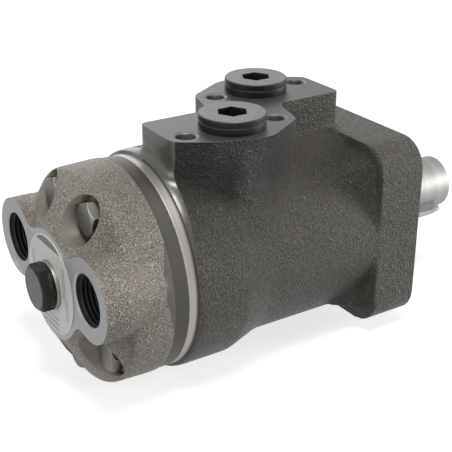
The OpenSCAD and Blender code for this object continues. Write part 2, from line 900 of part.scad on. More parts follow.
module rotor_star() {
    n = star_lobes * star_points;
    color(steel)
        translate([0, 0, orbit_r])
            difference() {
                along_x(cover_x + star_side_gap)
                    rotate(star_start)
                        linear_extrude(ring_t - 2 * star_side_gap)
                            polygon([for (i = [0:n - 1]) star_point(360 * i / n + star_crowd * sin(star_lobes * 360 * i / n))]);
                rod(cover_x - past, ring_x + past, rear_tooth_in_r);
                spline_slots(cover_x - past, ring_x + past, rear_slot_r, rear_tooth_w + 2 * spline_gap);
            }
}

module drive_spacer() {
    x0 = cover_x - recess_depth + 0.2;
    color(steel)
        translate([0, 0, orbit_r])
            turned([
                [0, x0],
                [drive_spacer_r - 0.8, x0],
                [drive_spacer_r, x0 + 0.8],
                [drive_spacer_r, x0 + drive_spacer_t - 0.8],
                [drive_spacer_r - 0.8, x0 + drive_spacer_t],
                [0, x0 + drive_spacer_t]
            ]);
}

// Three O-rings: between housing and spacer plate, spacer plate and ring, ring and cover
module body_seals() {
    color(rubber)
        for (x = [spacer_x + seal_wire_r, ring_x - seal_wire_r, cover_x - seal_wire_r])
            along_x(x) rotate_extrude() translate([seal_mid_r, 0]) circle(r = seal_wire_r - 0.01, $fn = 20);
}

function boss_centre() = end_port_r * [cos(end_port_angles[0]), sin(end_port_angles[0])];

// Outline of the port face: the middle disc and both bosses, joined by concave fillets
function plateau_outline() =
    let (
        c = boss_centre(),
        f = plateau_fillet_r,
        up = meet(plateau_r + f, c, boss_r + f, 1),
        low = meet(plateau_r + f, c, boss_r + f, -1),
        flip = function(p) [-p.x, p.y],
        cl = flip(c),
        upl = flip(up),
        lowl = flip(low),
        o = [0, 0],
        bend = function(m, p, q) let (a0 = heading(m, p)) arc(m, f, a0, a0 - after(-heading(m, q), -a0) - a0, 6),
        swell = function(m, r, p, q, n) let (a0 = heading(m, p)) arc(m, r, a0, after(heading(m, q), a0), n)
    )
    concat(
        swell(c, boss_r, low, up, 32),
        bend(up, c, o),
        swell(o, plateau_r, up, upl, 14),
        bend(upl, o, cl),
        swell(cl, boss_r, upl, lowl, 32),
        bend(lowl, cl, o),
        swell(o, plateau_r, lowl, low, 24),
        bend(low, o, c)
    );

// The cover's turned body: a slight draft, a round shoulder, a bevel and a sloping back
module cover_body() {
    edge = 0.5;
    straight_x = cover_x - 4;
    round_x = port_face_x + cover_len * 0.473;
    c = [cover_shoulder_r - cover_round_r, round_x];
    turn = c + cover_round_r * [cos(cover_bevel), -sin(cover_bevel)];
    bevel_x = turn.y - (turn.x - cover_bevel_r) / tan(cover_bevel);
    turned(concat(
        [[0, cover_x], [cover_r - edge, cover_x], [cover_r, cover_x - edge], [cover_r, straight_x]],
        arc(c, cover_round_r, 0, -cover_bevel, 6),
        [[cover_bevel_r, bevel_x], [plateau_r + 1, port_face_x + 0.4], [0, port_face_x + 0.4]]
    ));
}

module end_boss(side) {
    c = boss_centre();
    cone_x = port_face_x + 11;
    under_r = boss_r - 0.1;
    along_x()
        translate([side * c.x, c.y, 0]) {
            translate([0, 0, cone_x]) cylinder(h = 20, r1 = under_r, r2 = 11);
            translate([0, 0, port_face_x + 1]) cylinder(h = cone_x - port_face_x - 1, r = under_r);
        }
}

module end_port(a) {
    rod(port_face_x - past, port_face_x + end_port_depth, port_r, end_port_r, a);
    spot_r = end_port_spot_d / 2;
    along_x(port_face_x - 0.01)
        rotate(a)
            translate([end_port_r, 0, 0])
                cylinder(h = end_port_spot + 0.01, r1 = spot_r, r2 = port_r + 0.4);
    rod(port_face_x + end_port_depth - 2, cover_x + past, channel_r, lobe_circle_r, a);
}

module end_cover() {
    hole_r = drain_d / 2 + 0.05;
    color(cast_light)
        difference() {
            union() {
                cover_body();
                along_x(port_face_x) linear_extrude(9) polygon(plateau_outline());
                for (s = [-1, 1]) end_boss(s);
            }
            for (i = bolt_lobes) {
                rod(bolt_seat_x, port_face_x - 5, pocket_r, lobe_circle_r, lobe_angles[i]);
                rod(bolt_seat_x - past, cover_x + past, bolt_hole_r, lobe_circle_r, lobe_angles[i]);
            }
            for (a = end_port_angles) end_port(a);
            rod(cover_x - recess_depth, cover_x + past, recess_r);
            rod(port_face_x - past, cover_x - recess_depth + past, hole_r);
            tube(cover_x - seal_groove_d, cover_x + past, seal_mid_r - seal_groove_w / 2, seal_mid_r + seal_groove_w / 2);
        }
}

module hex_rod(x0, x1, af, turn = 0) {
    along_x(min(x0, x1)) rotate(turn) cylinder(h = abs(x1 - x0), d = af / cos(30), $fn = 6);
}

// A hex head between two stations, with its outer corners turned off
module hex_head(seat_x, face_x, af, turn = 0) {
    corner_r = af / 2 / cos(30);
    intersection() {
        hex_rod(seat_x, face_x, af, turn);
        turned([
            [0, seat_x],
            [corner_r + 0.1, seat_x],
            [corner_r + 0.1, face_x + 1.2],
            [af / 2 - 0.3, face_x],
            [0, face_x]
        ]);
    }
}

module cover_bolts() {
    seat_x = bolt_seat_x - washer_t;
    color(steel)
        for (i = bolt_lobes)
            rotate([lobe_angles[i], 0, 0])
                translate([0, lobe_circle_r, 0]) {
                    hex_head(seat_x, seat_x - bolt_head_h, bolt_af, bolt_turns[i]);
                    turned([
                        [0, seat_x - bolt_overlap],
                        [bolt_d / 2, seat_x - bolt_overlap],
                        [bolt_d / 2, spacer_x + bolt_grip - bolt_tip],
                        [bolt_d / 2 - bolt_tip, spacer_x + bolt_grip],
                        [0, spacer_x + bolt_grip]
                    ]);
                }
}

module cover_washers() {
    color(gold)
        for (i = bolt_lobes)
            rotate([lobe_angles[i], 0, 0])
                translate([0, lobe_circle_r, 0])
                    tube(bolt_seat_x - washer_t, bolt_seat_x, bolt_d / 2 + washer_play, washer_d / 2);
}

module name_disc() {
    color("gainsboro") tube(port_face_x - name_disc_t, port_face_x, drain_washer_d / 2 + disc_play, name_disc_d / 2);
}

module drain_plug() {
    seat_x = port_face_x - drain_washer_t;
    collar_r = drain_af / 2 + 0.7;
    end_x = port_face_x + drain_reach;
    color(dark_steel) {
        hex_head(seat_x, seat_x - drain_head_h, drain_af, -5);
        turned([
            [0, seat_x - drain_collar_t],
            [collar_r - 0.3, seat_x - drain_collar_t],
            [collar_r, seat_x - drain_collar_t + 0.3],
            [collar_r, seat_x],
            [drain_d / 2, seat_x],
            [drain_d / 2, end_x - chamfer],
            [drain_d / 2 - chamfer, end_x],
            [0, end_x]
        ]);
    }
}

module drain_washer() {
    color(steel) tube(port_face_x - drain_washer_t, port_face_x, drain_d / 2 + 0.1, drain_washer_d / 2);
}

// Plug of a side port: a round head with a hex socket on a threaded shank
module port_plugs() {
    seat_z = pad_z + plug_seal_t;
    top_z = seat_z + plug_head_h;
    plug_r = plug_d / 2;
    groove_z = seat_z + plug_head_h * 0.45;
    tip_z = pad_z - plug_reach;
    color(dark_steel)
        for (i = [0, 1])
            translate([side_port_x[i], side_port_y[i], 0])
                difference() {
                    rotate_extrude()
                        polygon([
                            [0, tip_z],
                            [port_r - chamfer, tip_z],
                            [port_r, tip_z + chamfer],
                            [port_r, seat_z],
                            [plug_r, seat_z],
                            [plug_r, groove_z - 0.4],
                            [plug_r - 0.4, groove_z],
                            [plug_r, groove_z + 0.4],
                            [plug_r, top_z - 0.5],
                            [plug_r - 0.5, top_z],
                            [0, top_z]
                        ]);
                    translate([0, 0, top_z - plug_socket_depth])
                        cylinder(h = plug_socket_depth + past, d = plug_socket_af / cos(30), $fn = 6);
                }
}

module plug_seals() {
    color(rubber)
        for (i = [0, 1])
            translate([side_port_x[i], side_port_y[i], pad_z])
                rotate_extrude()
                    polygon([
                        [port_r, 0],
                        [plug_d / 2 - 0.5, 0],
                        [plug_d / 2 - 0.5, plug_seal_t],
                        [port_r, plug_seal_t]
                    ]);
}

housing();
output_shaft();
shaft_key();
dust_seal();
shaft_seal();
thrust_race_front();
thrust_race_rear();
bearing_cage();
bearing_needles();
cardan_shaft();
check_ball_left();
check_ball_right();
check_springs();
check_plugs();
spacer_plate();
gear_ring();
rotor_star();
drive_spacer();
body_seals();
end_cover();
cover_bolts();
cover_washers();
name_disc();
drain_plug();
drain_washer();
port_plugs();
plug_seals();
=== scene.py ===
import math
import bmesh
import bpy
import numpy as np
from mathutils import Matrix, Vector


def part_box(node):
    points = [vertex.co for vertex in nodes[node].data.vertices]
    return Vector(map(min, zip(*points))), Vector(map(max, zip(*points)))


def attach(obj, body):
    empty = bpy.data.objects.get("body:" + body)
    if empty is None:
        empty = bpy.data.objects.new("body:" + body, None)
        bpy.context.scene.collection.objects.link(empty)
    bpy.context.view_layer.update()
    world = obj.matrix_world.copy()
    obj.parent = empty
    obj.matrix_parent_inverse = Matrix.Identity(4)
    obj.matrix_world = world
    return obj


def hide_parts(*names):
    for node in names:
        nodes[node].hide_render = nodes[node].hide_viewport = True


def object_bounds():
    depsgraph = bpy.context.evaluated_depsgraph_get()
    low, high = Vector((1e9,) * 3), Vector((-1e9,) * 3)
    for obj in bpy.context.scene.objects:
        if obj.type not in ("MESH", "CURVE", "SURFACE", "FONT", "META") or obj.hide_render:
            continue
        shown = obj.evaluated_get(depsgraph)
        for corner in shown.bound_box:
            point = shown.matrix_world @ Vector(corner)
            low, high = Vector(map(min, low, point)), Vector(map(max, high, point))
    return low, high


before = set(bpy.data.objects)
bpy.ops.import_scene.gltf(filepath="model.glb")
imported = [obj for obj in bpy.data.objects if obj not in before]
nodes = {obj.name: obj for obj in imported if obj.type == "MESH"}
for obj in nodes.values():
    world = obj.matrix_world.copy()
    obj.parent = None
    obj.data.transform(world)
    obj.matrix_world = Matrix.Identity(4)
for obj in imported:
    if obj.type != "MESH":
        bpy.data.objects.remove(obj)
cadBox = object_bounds()
print("frame loaded:", len(nodes), "pieces")


# node helpers

def feed(tree, socket, value):
    # a number or a colour is set on the socket, and the output of another node is linked to it
    if isinstance(value, (int, float)):
        socket.default_value = value
    elif isinstance(value, tuple):
        socket.default_value = (*value, 1)
    else:
        tree.links.new(value, socket)


def mathNode(tree, operation, a, b=None, clamp=False):
    node = tree.nodes.new("ShaderNodeMath")
    node.operation = operation
    node.use_clamp = clamp
    feed(tree, node.inputs[0], a)
    if b is not None:
        feed(tree, node.inputs[1], b)
    return node.outputs[0]


def plus(tree, a, b):
    return mathNode(tree, "ADD", a, b)


def minus(tree, a, b):
    return mathNode(tree, "SUBTRACT", a, b)


def times(tree, a, b, clamp=False):
    return mathNode(tree, "MULTIPLY", a, b, clamp)


def mixColour(tree, factor, a, b, mode="MIX"):
    node = tree.nodes.new("ShaderNodeMix")
    node.data_type = "RGBA"
    node.blend_type = mode
    for place, value in ((0, factor), (6, a), (7, b)):
        feed(tree, node.inputs[place], value)
    return node.outputs[2]


def rampNode(tree, factor, stops):
    # a colour ramp between two stops
    node = tree.nodes.new("ShaderNodeValToRGB")
    for element, (place, colour) in zip(node.color_ramp.elements, stops):
        element.position = place
        element.color = (*colour, 1)
    tree.links.new(factor, node.inputs[0])
    return node.outputs[0]


def noiseNode(tree, point, scale, detail, rough):
    node = tree.nodes.new("ShaderNodeTexNoise")
    feed(tree, node.inputs["Scale"], scale)
    node.inputs["Detail"].default_value = detail
    node.inputs["Roughness"].default_value = rough
    tree.links.new(point, node.inputs["Vector"])
    return node.outputs[0]


def objectPoint(tree):
    return tree.nodes.new("ShaderNodeTexCoord").outputs["Object"]


def splitPoint(tree, point):
    node = tree.nodes.new("ShaderNodeSeparateXYZ")
    tree.links.new(point, node.inputs[0])
    return node.outputs


def axisDistance(tree, across, height):
    # distance from the motor's axis: the root of across squared plus height squared
    squares = plus(tree, times(tree, across, across), times(tree, height, height))
    return mathNode(tree, "SQRT", squares)


def shaderTree(name):
    material = bpy.data.materials.new(name)
    material.use_nodes = True
    tree = material.node_tree
    return material, tree, tree.nodes["Principled BSDF"]


# shared effects

bevelSamples = 6


def newGroup(name, amounts, outputs):
    # a group with a Point input, a number input for each amount and a number output for each label
    group = bpy.data.node_groups.new(name, "ShaderNodeTree")
    group.interface.new_socket("Point", in_out="INPUT", socket_type="NodeSocketVector")
    for label, value in amounts.items():
        socket = group.interface.new_socket(label, in_out="INPUT", socket_type="NodeSocketFloat")
        socket.default_value = value
    for label in outputs:
        group.interface.new_socket(label, in_out="OUTPUT", socket_type="NodeSocketFloat")
    return group, group.nodes.new("NodeGroupInput").outputs, group.nodes.new("NodeGroupOutput").inputs


def makeSandGroup():
    # sand-cast skin: fine pits and grains on soft lumps, with a slow stain and light specks
    sand = {"stainScale": 38.0, "grainPower": 1.6, "grainShare": 0.7, "lumpShare": 0.6,
            "speckAbove": 0.53, "pitBelow": 0.47, "contrast": 7.0}
    group, start, end = newGroup("sandCast", {"Grain": 1400.0, "Lumps": 260.0},
                                 ("Height", "Stain", "Speck", "Pit"))
    fine = noiseNode(group, start["Point"], start["Grain"], detail=2.0, rough=0.6)
    lumps = noiseNode(group, start["Point"], start["Lumps"], detail=3.0, rough=0.55)
    stain = noiseNode(group, start["Point"], sand["stainScale"], detail=4.0, rough=0.6)
    grains = times(group, mathNode(group, "POWER", fine, sand["grainPower"]), sand["grainShare"])
    height = plus(group, grains, times(group, lumps, sand["lumpShare"]))
    speck = times(group, minus(group, fine, sand["speckAbove"]), sand["contrast"], clamp=True)
    pit = times(group, minus(group, sand["pitBelow"], fine), sand["contrast"], clamp=True)
    for label, value in (("Height", height), ("Stain", stain), ("Speck", speck), ("Pit", pit)):
        group.links.new(value, end[label])
    return group


def makeEdgeGroup():
    # edge wear and a painted edge highlight: where the rounded normal leaves the true one, broken up by noise
    edge = {"contrast": 7.0, "noiseScale": 420.0}
    group, start, end = newGroup("edgeWearAndHighlight", {"Radius": 0.0006, "Break Up": 0.5}, ("Mask",))
    bevel = group.nodes.new("ShaderNodeBevel")
    bevel.samples = bevelSamples
    group.links.new(start["Radius"], bevel.inputs["Radius"])
    geometry = group.nodes.new("ShaderNodeNewGeometry")
    dot = group.nodes.new("ShaderNodeVectorMath")
    dot.operation = "DOT_PRODUCT"
    group.links.new(bevel.outputs[0], dot.inputs[0])
    group.links.new(geometry.outputs["True Normal"], dot.inputs[1])
    bareAndBright = times(group, minus(group, 1.0, dot.outputs["Value"]), edge["contrast"], clamp=True)
    noise = noiseNode(group, start["Point"], edge["noiseScale"], detail=3.0, rough=0.6)
    breakUp = minus(group, 1.0, times(group, noise, start["Break Up"]))
    group.links.new(times(group, bareAndBright, breakUp, clamp=True), end["Mask"])
    return group


def makeTurnedGroup():
    # lathe marks round the X axis: noise of the distance along the axis and of the radius only,
    # and where Smear is 1 also of the distance across, as on a milled face
    turned = {"bandScale": 420.0}
    group, start, end = newGroup("turnedLines", {"Fineness": 3000.0, "Smear": 0.02}, ("Height", "Bands"))
    along, across, height = splitPoint(group, start["Point"])
    join = group.nodes.new("ShaderNodeCombineXYZ")
    group.links.new(along, join.inputs[0])
    group.links.new(axisDistance(group, across, height), join.inputs[1])
    group.links.new(times(group, across, start["Smear"]), join.inputs[2])
    fine = noiseNode(group, join.outputs[0], start["Fineness"], detail=2.0, rough=0.5)
    bands = noiseNode(group, join.outputs[0], turned["bandScale"], detail=2.0, rough=0.5)
    group.links.new(fine, end["Height"])
    group.links.new(bands, end["Bands"])
    return group


sandGroup = makeSandGroup()
edgeGroup = makeEdgeGroup()
turnedGroup = makeTurnedGroup()


def useGroup(tree, group, **values):
    node = tree.nodes.new("ShaderNodeGroup")
    node.node_tree = group
    for name, value in values.items():
        feed(tree, node.inputs[name], value)
    return node.outputs


def bumpFrom(tree, height, depth, rounding=0.0):
    # depth is the relief in metres for a height of 1; rounding softens the edges' shading
    bump = tree.nodes.new("ShaderNodeBump")
    bump.inputs["Strength"].default_value = 1.0
    bump.inputs["Distance"].default_value = depth
    tree.links.new(height, bump.inputs["Height"])
    if rounding:
        bevel = tree.nodes.new("ShaderNodeBevel")
        bevel.samples = bevelSamples
        bevel.inputs["Radius"].default_value = rounding
        tree.links.new(bevel.outputs[0], bump.inputs["Normal"])
    return bump.outputs[0]


# finishes

def crescentMask(tree, point, crescent):
    # A turned band beside a joint face: it reaches from the edge to a line that bulges between two angles,
    # counted up from the level of the axis on either side, and that wobbles a little as a casting does.
    along, across, height = splitPoint(tree, point)
    angle = mathNode(tree, "ARCTAN2", height, mathNode(tree, "ABSOLUTE", across))
    low, high = (math.radians(a) for a in crescent["angles"])
    lowFade, highFade = (math.radians(a) for a in crescent["fades"])
    rise = mathNode(tree, "DIVIDE", minus(tree, angle, low), lowFade, clamp=True)
    fall = mathNode(tree, "DIVIDE", minus(tree, high, angle), highFade, clamp=True)
    bulge = mathNode(tree, "MINIMUM", rise, fall)
    noise = noiseNode(tree, point, scale=160.0, detail=2.0, rough=0.5)
    wobble = times(tree, minus(tree, noise, 0.5), crescent["wobble"])
    width = plus(tree, times(tree, bulge, crescent["width"]), wobble)
    away = mathNode(tree, "ABSOLUTE", minus(tree, along, crescent["edge"]))
    inside = mathNode(tree, "LESS_THAN", away, width)
    return times(tree, inside, mathNode(tree, "GREATER_THAN", bulge, 0.001))


def heightMask(tree, point, span, drift, ahead=None):
    # the mask of the painted shade at the top: 0 below the first height and 1 above the second, the border
    # moved about by a slow noise;
    # where a span along X is given, the mask fades out from its first place to its second
    along, _, height = splitPoint(tree, point)
    noise = noiseNode(tree, point, scale=45.0, detail=3.0, rough=0.6)
    shifted = plus(tree, height, times(tree, minus(tree, noise, 0.5), drift))
    mask = mathNode(tree, "DIVIDE", minus(tree, shifted, span[0]), span[1] - span[0], clamp=True)
    if not ahead:
        return mask
    fade = mathNode(tree, "DIVIDE", minus(tree, ahead[1], along), ahead[1] - ahead[0], clamp=True)
    return times(tree, mask, fade)


def castIron(name, look):
    # sand-cast iron with a stain, pits, specks and worn edges with a painted edge highlight, painted shade
    # darkening the top, and one turned band
    skin = {"stainSpan": (0.3, 0.7), "speckRoughness": -0.12,
            "bandRoughness": 0.1, "bandMetallic": 0.45, "bandFineness": 1500.0}
    material, tree, shader = shaderTree(name)
    point = objectPoint(tree)
    sand = useGroup(tree, sandGroup, Point=point, Grain=look["grain"], Lumps=look["lumps"])
    turned = useGroup(tree, turnedGroup, Point=point, Fineness=skin["bandFineness"])
    band = crescentMask(tree, point, look["band"])
    wearAndHighlight = useGroup(tree, edgeGroup, Point=point, Radius=look["wearAndHighlightRadius"])
    low, high = skin["stainSpan"]
    stained = rampNode(tree, sand["Stain"], ((low, look["dark"]), (high, look["colour"])))
    pitted = mixColour(tree, times(tree, sand["Pit"], look["pit"]), stained, look["pitColour"])
    specked = mixColour(tree, times(tree, sand["Speck"], look["speck"]), pitted, look["light"])
    # edge wear and a painted highlight on edges such as the web crests
    wornAndHighlighted = mixColour(tree, times(tree, wearAndHighlight["Mask"], look["wearAndHighlight"]), specked, look["light"])
    # painted shade: the upper part is darkened by a tint, standing in for the shade that falls there
    topShade = heightMask(tree, point, look["paintedShadeSpan"], look["paintedShadeDrift"], look.get("paintedShadeAhead"))
    shaded = mixColour(tree, topShade, wornAndHighlighted, look["paintedShadeTint"], "MULTIPLY")
    bareAndBright = mixColour(tree, turned["Bands"], look["bandDark"], look["bandColour"])
    tree.links.new(mixColour(tree, band, shaded, bareAndBright), shader.inputs["Base Color"])
    rough = plus(tree, look["roughness"], times(tree, sand["Speck"], skin["speckRoughness"]))
    tree.links.new(minus(tree, rough, times(tree, band, skin["bandRoughness"])), shader.inputs["Roughness"])
    metal = times(tree, band, skin["bandMetallic"] - look["metallic"])
    tree.links.new(plus(tree, metal, look["metallic"]), shader.inputs["Metallic"])
    shader.inputs["Specular IOR Level"].default_value = look["specular"]
    relief = times(tree, sand["Height"], minus(tree, 1.0, band))
    tree.links.new(bumpFrom(tree, relief, look["relief"]), shader.inputs["Normal"])
    return material


plainSteel = {"smear": 0.02, "wearAndHighlight": 0.5, "wearAndHighlightRadius": 0.0005, "metallic": 1.0, "specular": 0.5}


def turnedSteel(name, look):
    # metal with turned or milled marks and edges brightened by wear and a painted highlight; what a look
    # leaves out comes from plainSteel
    spread = {"roughness": 0.12, "edgeRounding": 0.0004}
    look = {**plainSteel, **look}
    material, tree, shader = shaderTree(name)
    point = objectPoint(tree)
    lines = useGroup(tree, turnedGroup, Point=point, Fineness=look["fineness"], Smear=look["smear"])
    wearAndHighlight = useGroup(tree, edgeGroup, Point=point, Radius=look["wearAndHighlightRadius"])
    banded = mixColour(tree, lines["Bands"], look["dark"], look["colour"])
    wornAndHighlighted = mixColour(tree, times(tree, wearAndHighlight["Mask"], look["wearAndHighlight"]), banded, look["light"])
    tree.links.new(wornAndHighlighted, shader.inputs["Base Color"])
    rough = plus(tree, look["roughness"], times(tree, lines["Bands"], spread["roughness"]))
    tree.links.new(rough, shader.inputs["Roughness"])
    shader.inputs["Metallic"].default_value = look["metallic"]
    shader.inputs["Specular IOR Level"].default_value = look["specular"]
    normal = bumpFrom(tree, lines["Height"], look["relief"], spread["edgeRounding"])
    tree.links.new(normal, shader.inputs["Normal"])
    return material


def mouldedRubber(name, look):
    material, tree, shader = shaderTree(name)
    grain = noiseNode(tree, objectPoint(tree), look["grain"], detail=2.0, rough=0.5)
    tree.links.new(mixColour(tree, grain, look["dark"], look["colour"]), shader.inputs["Base Color"])
    shader.inputs["Roughness"].default_value = look["roughness"]
    shader.inputs["Metallic"].default_value = 0.0
    tree.links.new(bumpFrom(tree, grain, look["relief"], look["rounding"]), shader.inputs["Normal"])
    return material


def twoTone(name, look):
    # a turned finish whose part beyond one plane has been worn or faced to another colour
    material = turnedSteel(name, look)
    tree = material.node_tree
    shader = tree.nodes["Principled BSDF"]
    base = shader.inputs["Base Color"].links[0].from_socket
    rough = shader.inputs["Roughness"].links[0].from_socket
    point = objectPoint(tree)
    axis, side, place = look["plane"]
    beyond = mathNode(tree, side, splitPoint(tree, point)[axis], place)
    noise = noiseNode(tree, point, scale=900.0, detail=2.0, rough=0.5)
    faced = mixColour(tree, noise, look["facedDark"], look["faced"])
    tree.links.new(mixColour(tree, beyond, base, faced), shader.inputs["Base Color"])
    softer = times(tree, beyond, look["facedRoughness"] - look["roughness"])
    tree.links.new(plus(tree, rough, softer), shader.inputs["Roughness"])
    return material


housingCast = castIron("housingCast", {
    "colour": (0.052, 0.048, 0.042), "dark": (0.036, 0.033, 0.028), "light": (0.17, 0.155, 0.135),
    "pitColour": (0.010, 0.009, 0.008), "pit": 0.8, "speck": 0.7,
    "grain": 1500.0, "lumps": 420.0, "relief": 0.0018,
    # edge wear with a painted highlight along the edges and the web crests
    "wearAndHighlight": 0.10, "wearAndHighlightRadius": 0.0007, "roughness": 0.40, "metallic": 0.12, "specular": 0.25,
    # painted shade: the housing's top is darkened by this tint between these heights, fading out towards the
    # flange
    "paintedShadeSpan": (0.014, 0.042), "paintedShadeDrift": 0.02, "paintedShadeAhead": (-0.070, -0.040),
    "paintedShadeTint": (0.30, 0.28, 0.26),
    "bandColour": (0.12, 0.116, 0.108), "bandDark": (0.055, 0.053, 0.049),
    "band": {"edge": -0.1154, "width": 0.0046, "wobble": 0.0012, "angles": (12, 110), "fades": (60, 12)}})
coverCast = castIron("coverCast", {
    "colour": (0.208, 0.187, 0.161), "dark": (0.130, 0.116, 0.098), "light": (0.56, 0.53, 0.485),
    "pitColour": (0.055, 0.048, 0.039), "pit": 0.8, "speck": 0.55,
    "grain": 1650.0, "lumps": 380.0, "relief": 0.0013,
    "wearAndHighlight": 0.12, "wearAndHighlightRadius": 0.0008, "roughness": 0.46, "metallic": 0.2, "specular": 0.2,
    # painted shade: the cover's top is darkened a little by this tint
    "paintedShadeSpan": (0.02, 0.06), "paintedShadeDrift": 0.02, "paintedShadeTint": (0.80, 0.79, 0.78),
    "bandColour": (0.11, 0.107, 0.10), "bandDark": (0.07, 0.068, 0.064),
    "band": {"edge": -0.1259, "width": 0.0034, "wobble": 0.0012, "angles": (-15, 35), "fades": (20, 16)}})
milledDark = turnedSteel("milledDark", {
    "colour": (0.088, 0.088, 0.091), "dark": (0.064, 0.064, 0.066), "light": (0.24, 0.24, 0.24),
    "fineness": 1500.0, "smear": 1.0, "relief": 0.00003, "roughness": 0.4, "metallic": 0.7, "wearAndHighlight": 0.35})
# painted shade: the port walls are near black, standing in for the shade inside the ports
portShade = turnedSteel("portShade", {
    "colour": (0.004, 0.004, 0.005), "dark": (0.002, 0.002, 0.002), "light": (0.06, 0.06, 0.06),
    "fineness": 1800.0, "smear": 1.0, "relief": 0.00002, "roughness": 0.55, "metallic": 0.0, "specular": 0.1,
    "wearAndHighlight": 0.1, "wearAndHighlightRadius": 0.0002})
# painted shade: the port threads are dark for the shade inside the ports, their edges a little lighter
threadSteel = turnedSteel("threadSteel", {
    "colour": (0.012, 0.012, 0.013), "dark": (0.007, 0.007, 0.007), "light": (0.09, 0.09, 0.09),
    "fineness": 1800.0, "smear": 1.0, "relief": 0.00001, "roughness": 0.45, "metallic": 0.3, "specular": 0.2,
    "wearAndHighlight": 0.3, "wearAndHighlightRadius": 0.0002})
milledLight = turnedSteel("milledLight", {
    "colour": (0.260, 0.255, 0.265), "dark": (0.195, 0.191, 0.200), "light": (0.50, 0.50, 0.51),
    "fineness": 2200.0, "smear": 1.0, "relief": 0.00002, "roughness": 0.4, "metallic": 0.75, "wearAndHighlight": 0.35})
# the bolt pockets' machined walls: a warm brown finish, darkened as painted shade for the shade inside the
# pockets
pocketCutShaded = turnedSteel("pocketCutShaded", {
    "colour": (0.115, 0.101, 0.084), "dark": (0.060, 0.052, 0.043), "light": (0.30, 0.28, 0.25),
    "fineness": 1500.0, "smear": 1.0, "relief": 0.00004, "roughness": 0.42, "wearAndHighlight": 0.4, "metallic": 0.3,
    "specular": 0.2})
groundSteel = turnedSteel("groundSteel", {
    "colour": (0.36, 0.353, 0.343), "dark": (0.19, 0.186, 0.18), "light": (0.80, 0.80, 0.80),
    "fineness": 5200.0, "relief": 0.000006, "roughness": 0.47})
hardenedSteel = turnedSteel("hardenedSteel", {
    "colour": (0.26, 0.25, 0.24), "dark": (0.17, 0.165, 0.16), "light": (0.5, 0.5, 0.5),
    "fineness": 3000.0, "relief": 0.00001, "roughness": 0.32})
keySteel = turnedSteel("keySteel", {
    "colour": (0.22, 0.22, 0.22), "dark": (0.15, 0.15, 0.15), "light": (0.55, 0.55, 0.55),
    "fineness": 2400.0, "relief": 0.00001, "roughness": 0.26})
plateSteel = turnedSteel("plateSteel", {
    "colour": (0.44, 0.42, 0.385), "dark": (0.22, 0.208, 0.188), "light": (0.75, 0.74, 0.71),
    "fineness": 2600.0, "relief": 0.000012, "roughness": 0.36, "wearAndHighlight": 0.2})
ringSteel = turnedSteel("ringSteel", {
    "colour": (0.080, 0.077, 0.071), "dark": (0.045, 0.043, 0.040), "light": (0.30, 0.295, 0.28),
    "fineness": 1500.0, "relief": 0.00003, "roughness": 0.42, "wearAndHighlight": 0.5})
boltSteel = turnedSteel("boltSteel", {
    "colour": (0.135, 0.130, 0.121), "dark": (0.085, 0.081, 0.075), "light": (0.45, 0.44, 0.42),
    "fineness": 1800.0, "smear": 1.0, "relief": 0.00002, "roughness": 0.34, "wearAndHighlight": 0.55, "metallic": 0.85})
washerBrass = turnedSteel("washerBrass", {
    "colour": (0.66, 0.43, 0.16), "dark": (0.46, 0.29, 0.10), "light": (0.85, 0.66, 0.34),
    "fineness": 2400.0, "relief": 0.00001, "roughness": 0.28})
plugSteel = twoTone("plugSteel", {
    "colour": (0.014, 0.012, 0.010), "dark": (0.007, 0.006, 0.005), "light": (0.16, 0.152, 0.14),
    "fineness": 2600.0, "relief": 0.000014, "roughness": 0.4, "wearAndHighlight": 0.6, "wearAndHighlightRadius": 0.0003,
    "metallic": 0.4, "specular": 0.25, "plane": (2, "GREATER_THAN", 0.0639),
    "faced": (0.155, 0.153, 0.155), "facedDark": (0.115, 0.113, 0.115), "facedRoughness": 0.45})
drainBlack = twoTone("drainBlack", {
    "colour": (0.008, 0.008, 0.007), "dark": (0.004, 0.004, 0.004), "light": (0.12, 0.12, 0.115),
    "fineness": 2200.0, "relief": 0.00002, "roughness": 0.42, "wearAndHighlight": 0.35, "wearAndHighlightRadius": 0.0003,
    "metallic": 0.3, "specular": 0.25, "plane": (0, "LESS_THAN", -0.16445),
    "faced": (0.100, 0.103, 0.110), "facedDark": (0.082, 0.084, 0.089), "facedRoughness": 0.5})
# painted shade: the pad holes' walls are dark below a thin lighter band at the mouth, standing in for the
# shade inside the holes
holeShade = twoTone("holeShade", {
    "colour": (0.030, 0.029, 0.028), "dark": (0.012, 0.012, 0.011), "light": (0.09, 0.09, 0.09),
    "fineness": 1500.0, "relief": 0.00002, "roughness": 0.45, "wearAndHighlight": 0.2, "wearAndHighlightRadius": 0.0002,
    "metallic": 0.4, "plane": (2, "GREATER_THAN", 0.0575),
    "faced": (0.16, 0.16, 0.164), "facedDark": (0.12, 0.12, 0.123), "facedRoughness": 0.35})
sealRubber = mouldedRubber("sealRubber", {
    "colour": (0.026, 0.026, 0.026), "dark": (0.016, 0.016, 0.016),
    "grain": 900.0, "relief": 0.00002, "rounding": 0.0003, "roughness": 0.55})


# the round plate: off-white paint, a grey segment near the top inside a pale rim, and plain unbroken bars;
# each bar field has its span across, its span in height, the axis that its bars are counted along,
# their pitch, the wave height above which there is ink, and the strength of the ink
plate = {
    "paint": (0.53, 0.535, 0.515), "paintDark": (0.44, 0.445, 0.425), "ink": (0.008, 0.008, 0.008),
    "segment": (0.10, 0.103, 0.108), "segmentFrom": 0.0168, "rimWidth": 0.0008,
    "roughness": 0.5, "specular": 0.25,
    "bars": (
        ((-0.0143, -0.0112), (-0.0012, 0.0125), "across", 0.0016, 0.2, 0.62),
        ((-0.0168, -0.0138), (-0.0105, -0.0005), "across", 0.0016, 0.2, 0.62),
        ((0.0140, 0.0168), (0.0010, 0.0100), "across", 0.0016, 0.3, 0.5),
        ((-0.0060, 0.0085), (-0.0190, -0.0135), "height", 0.0024, 0.3, 0.5))}


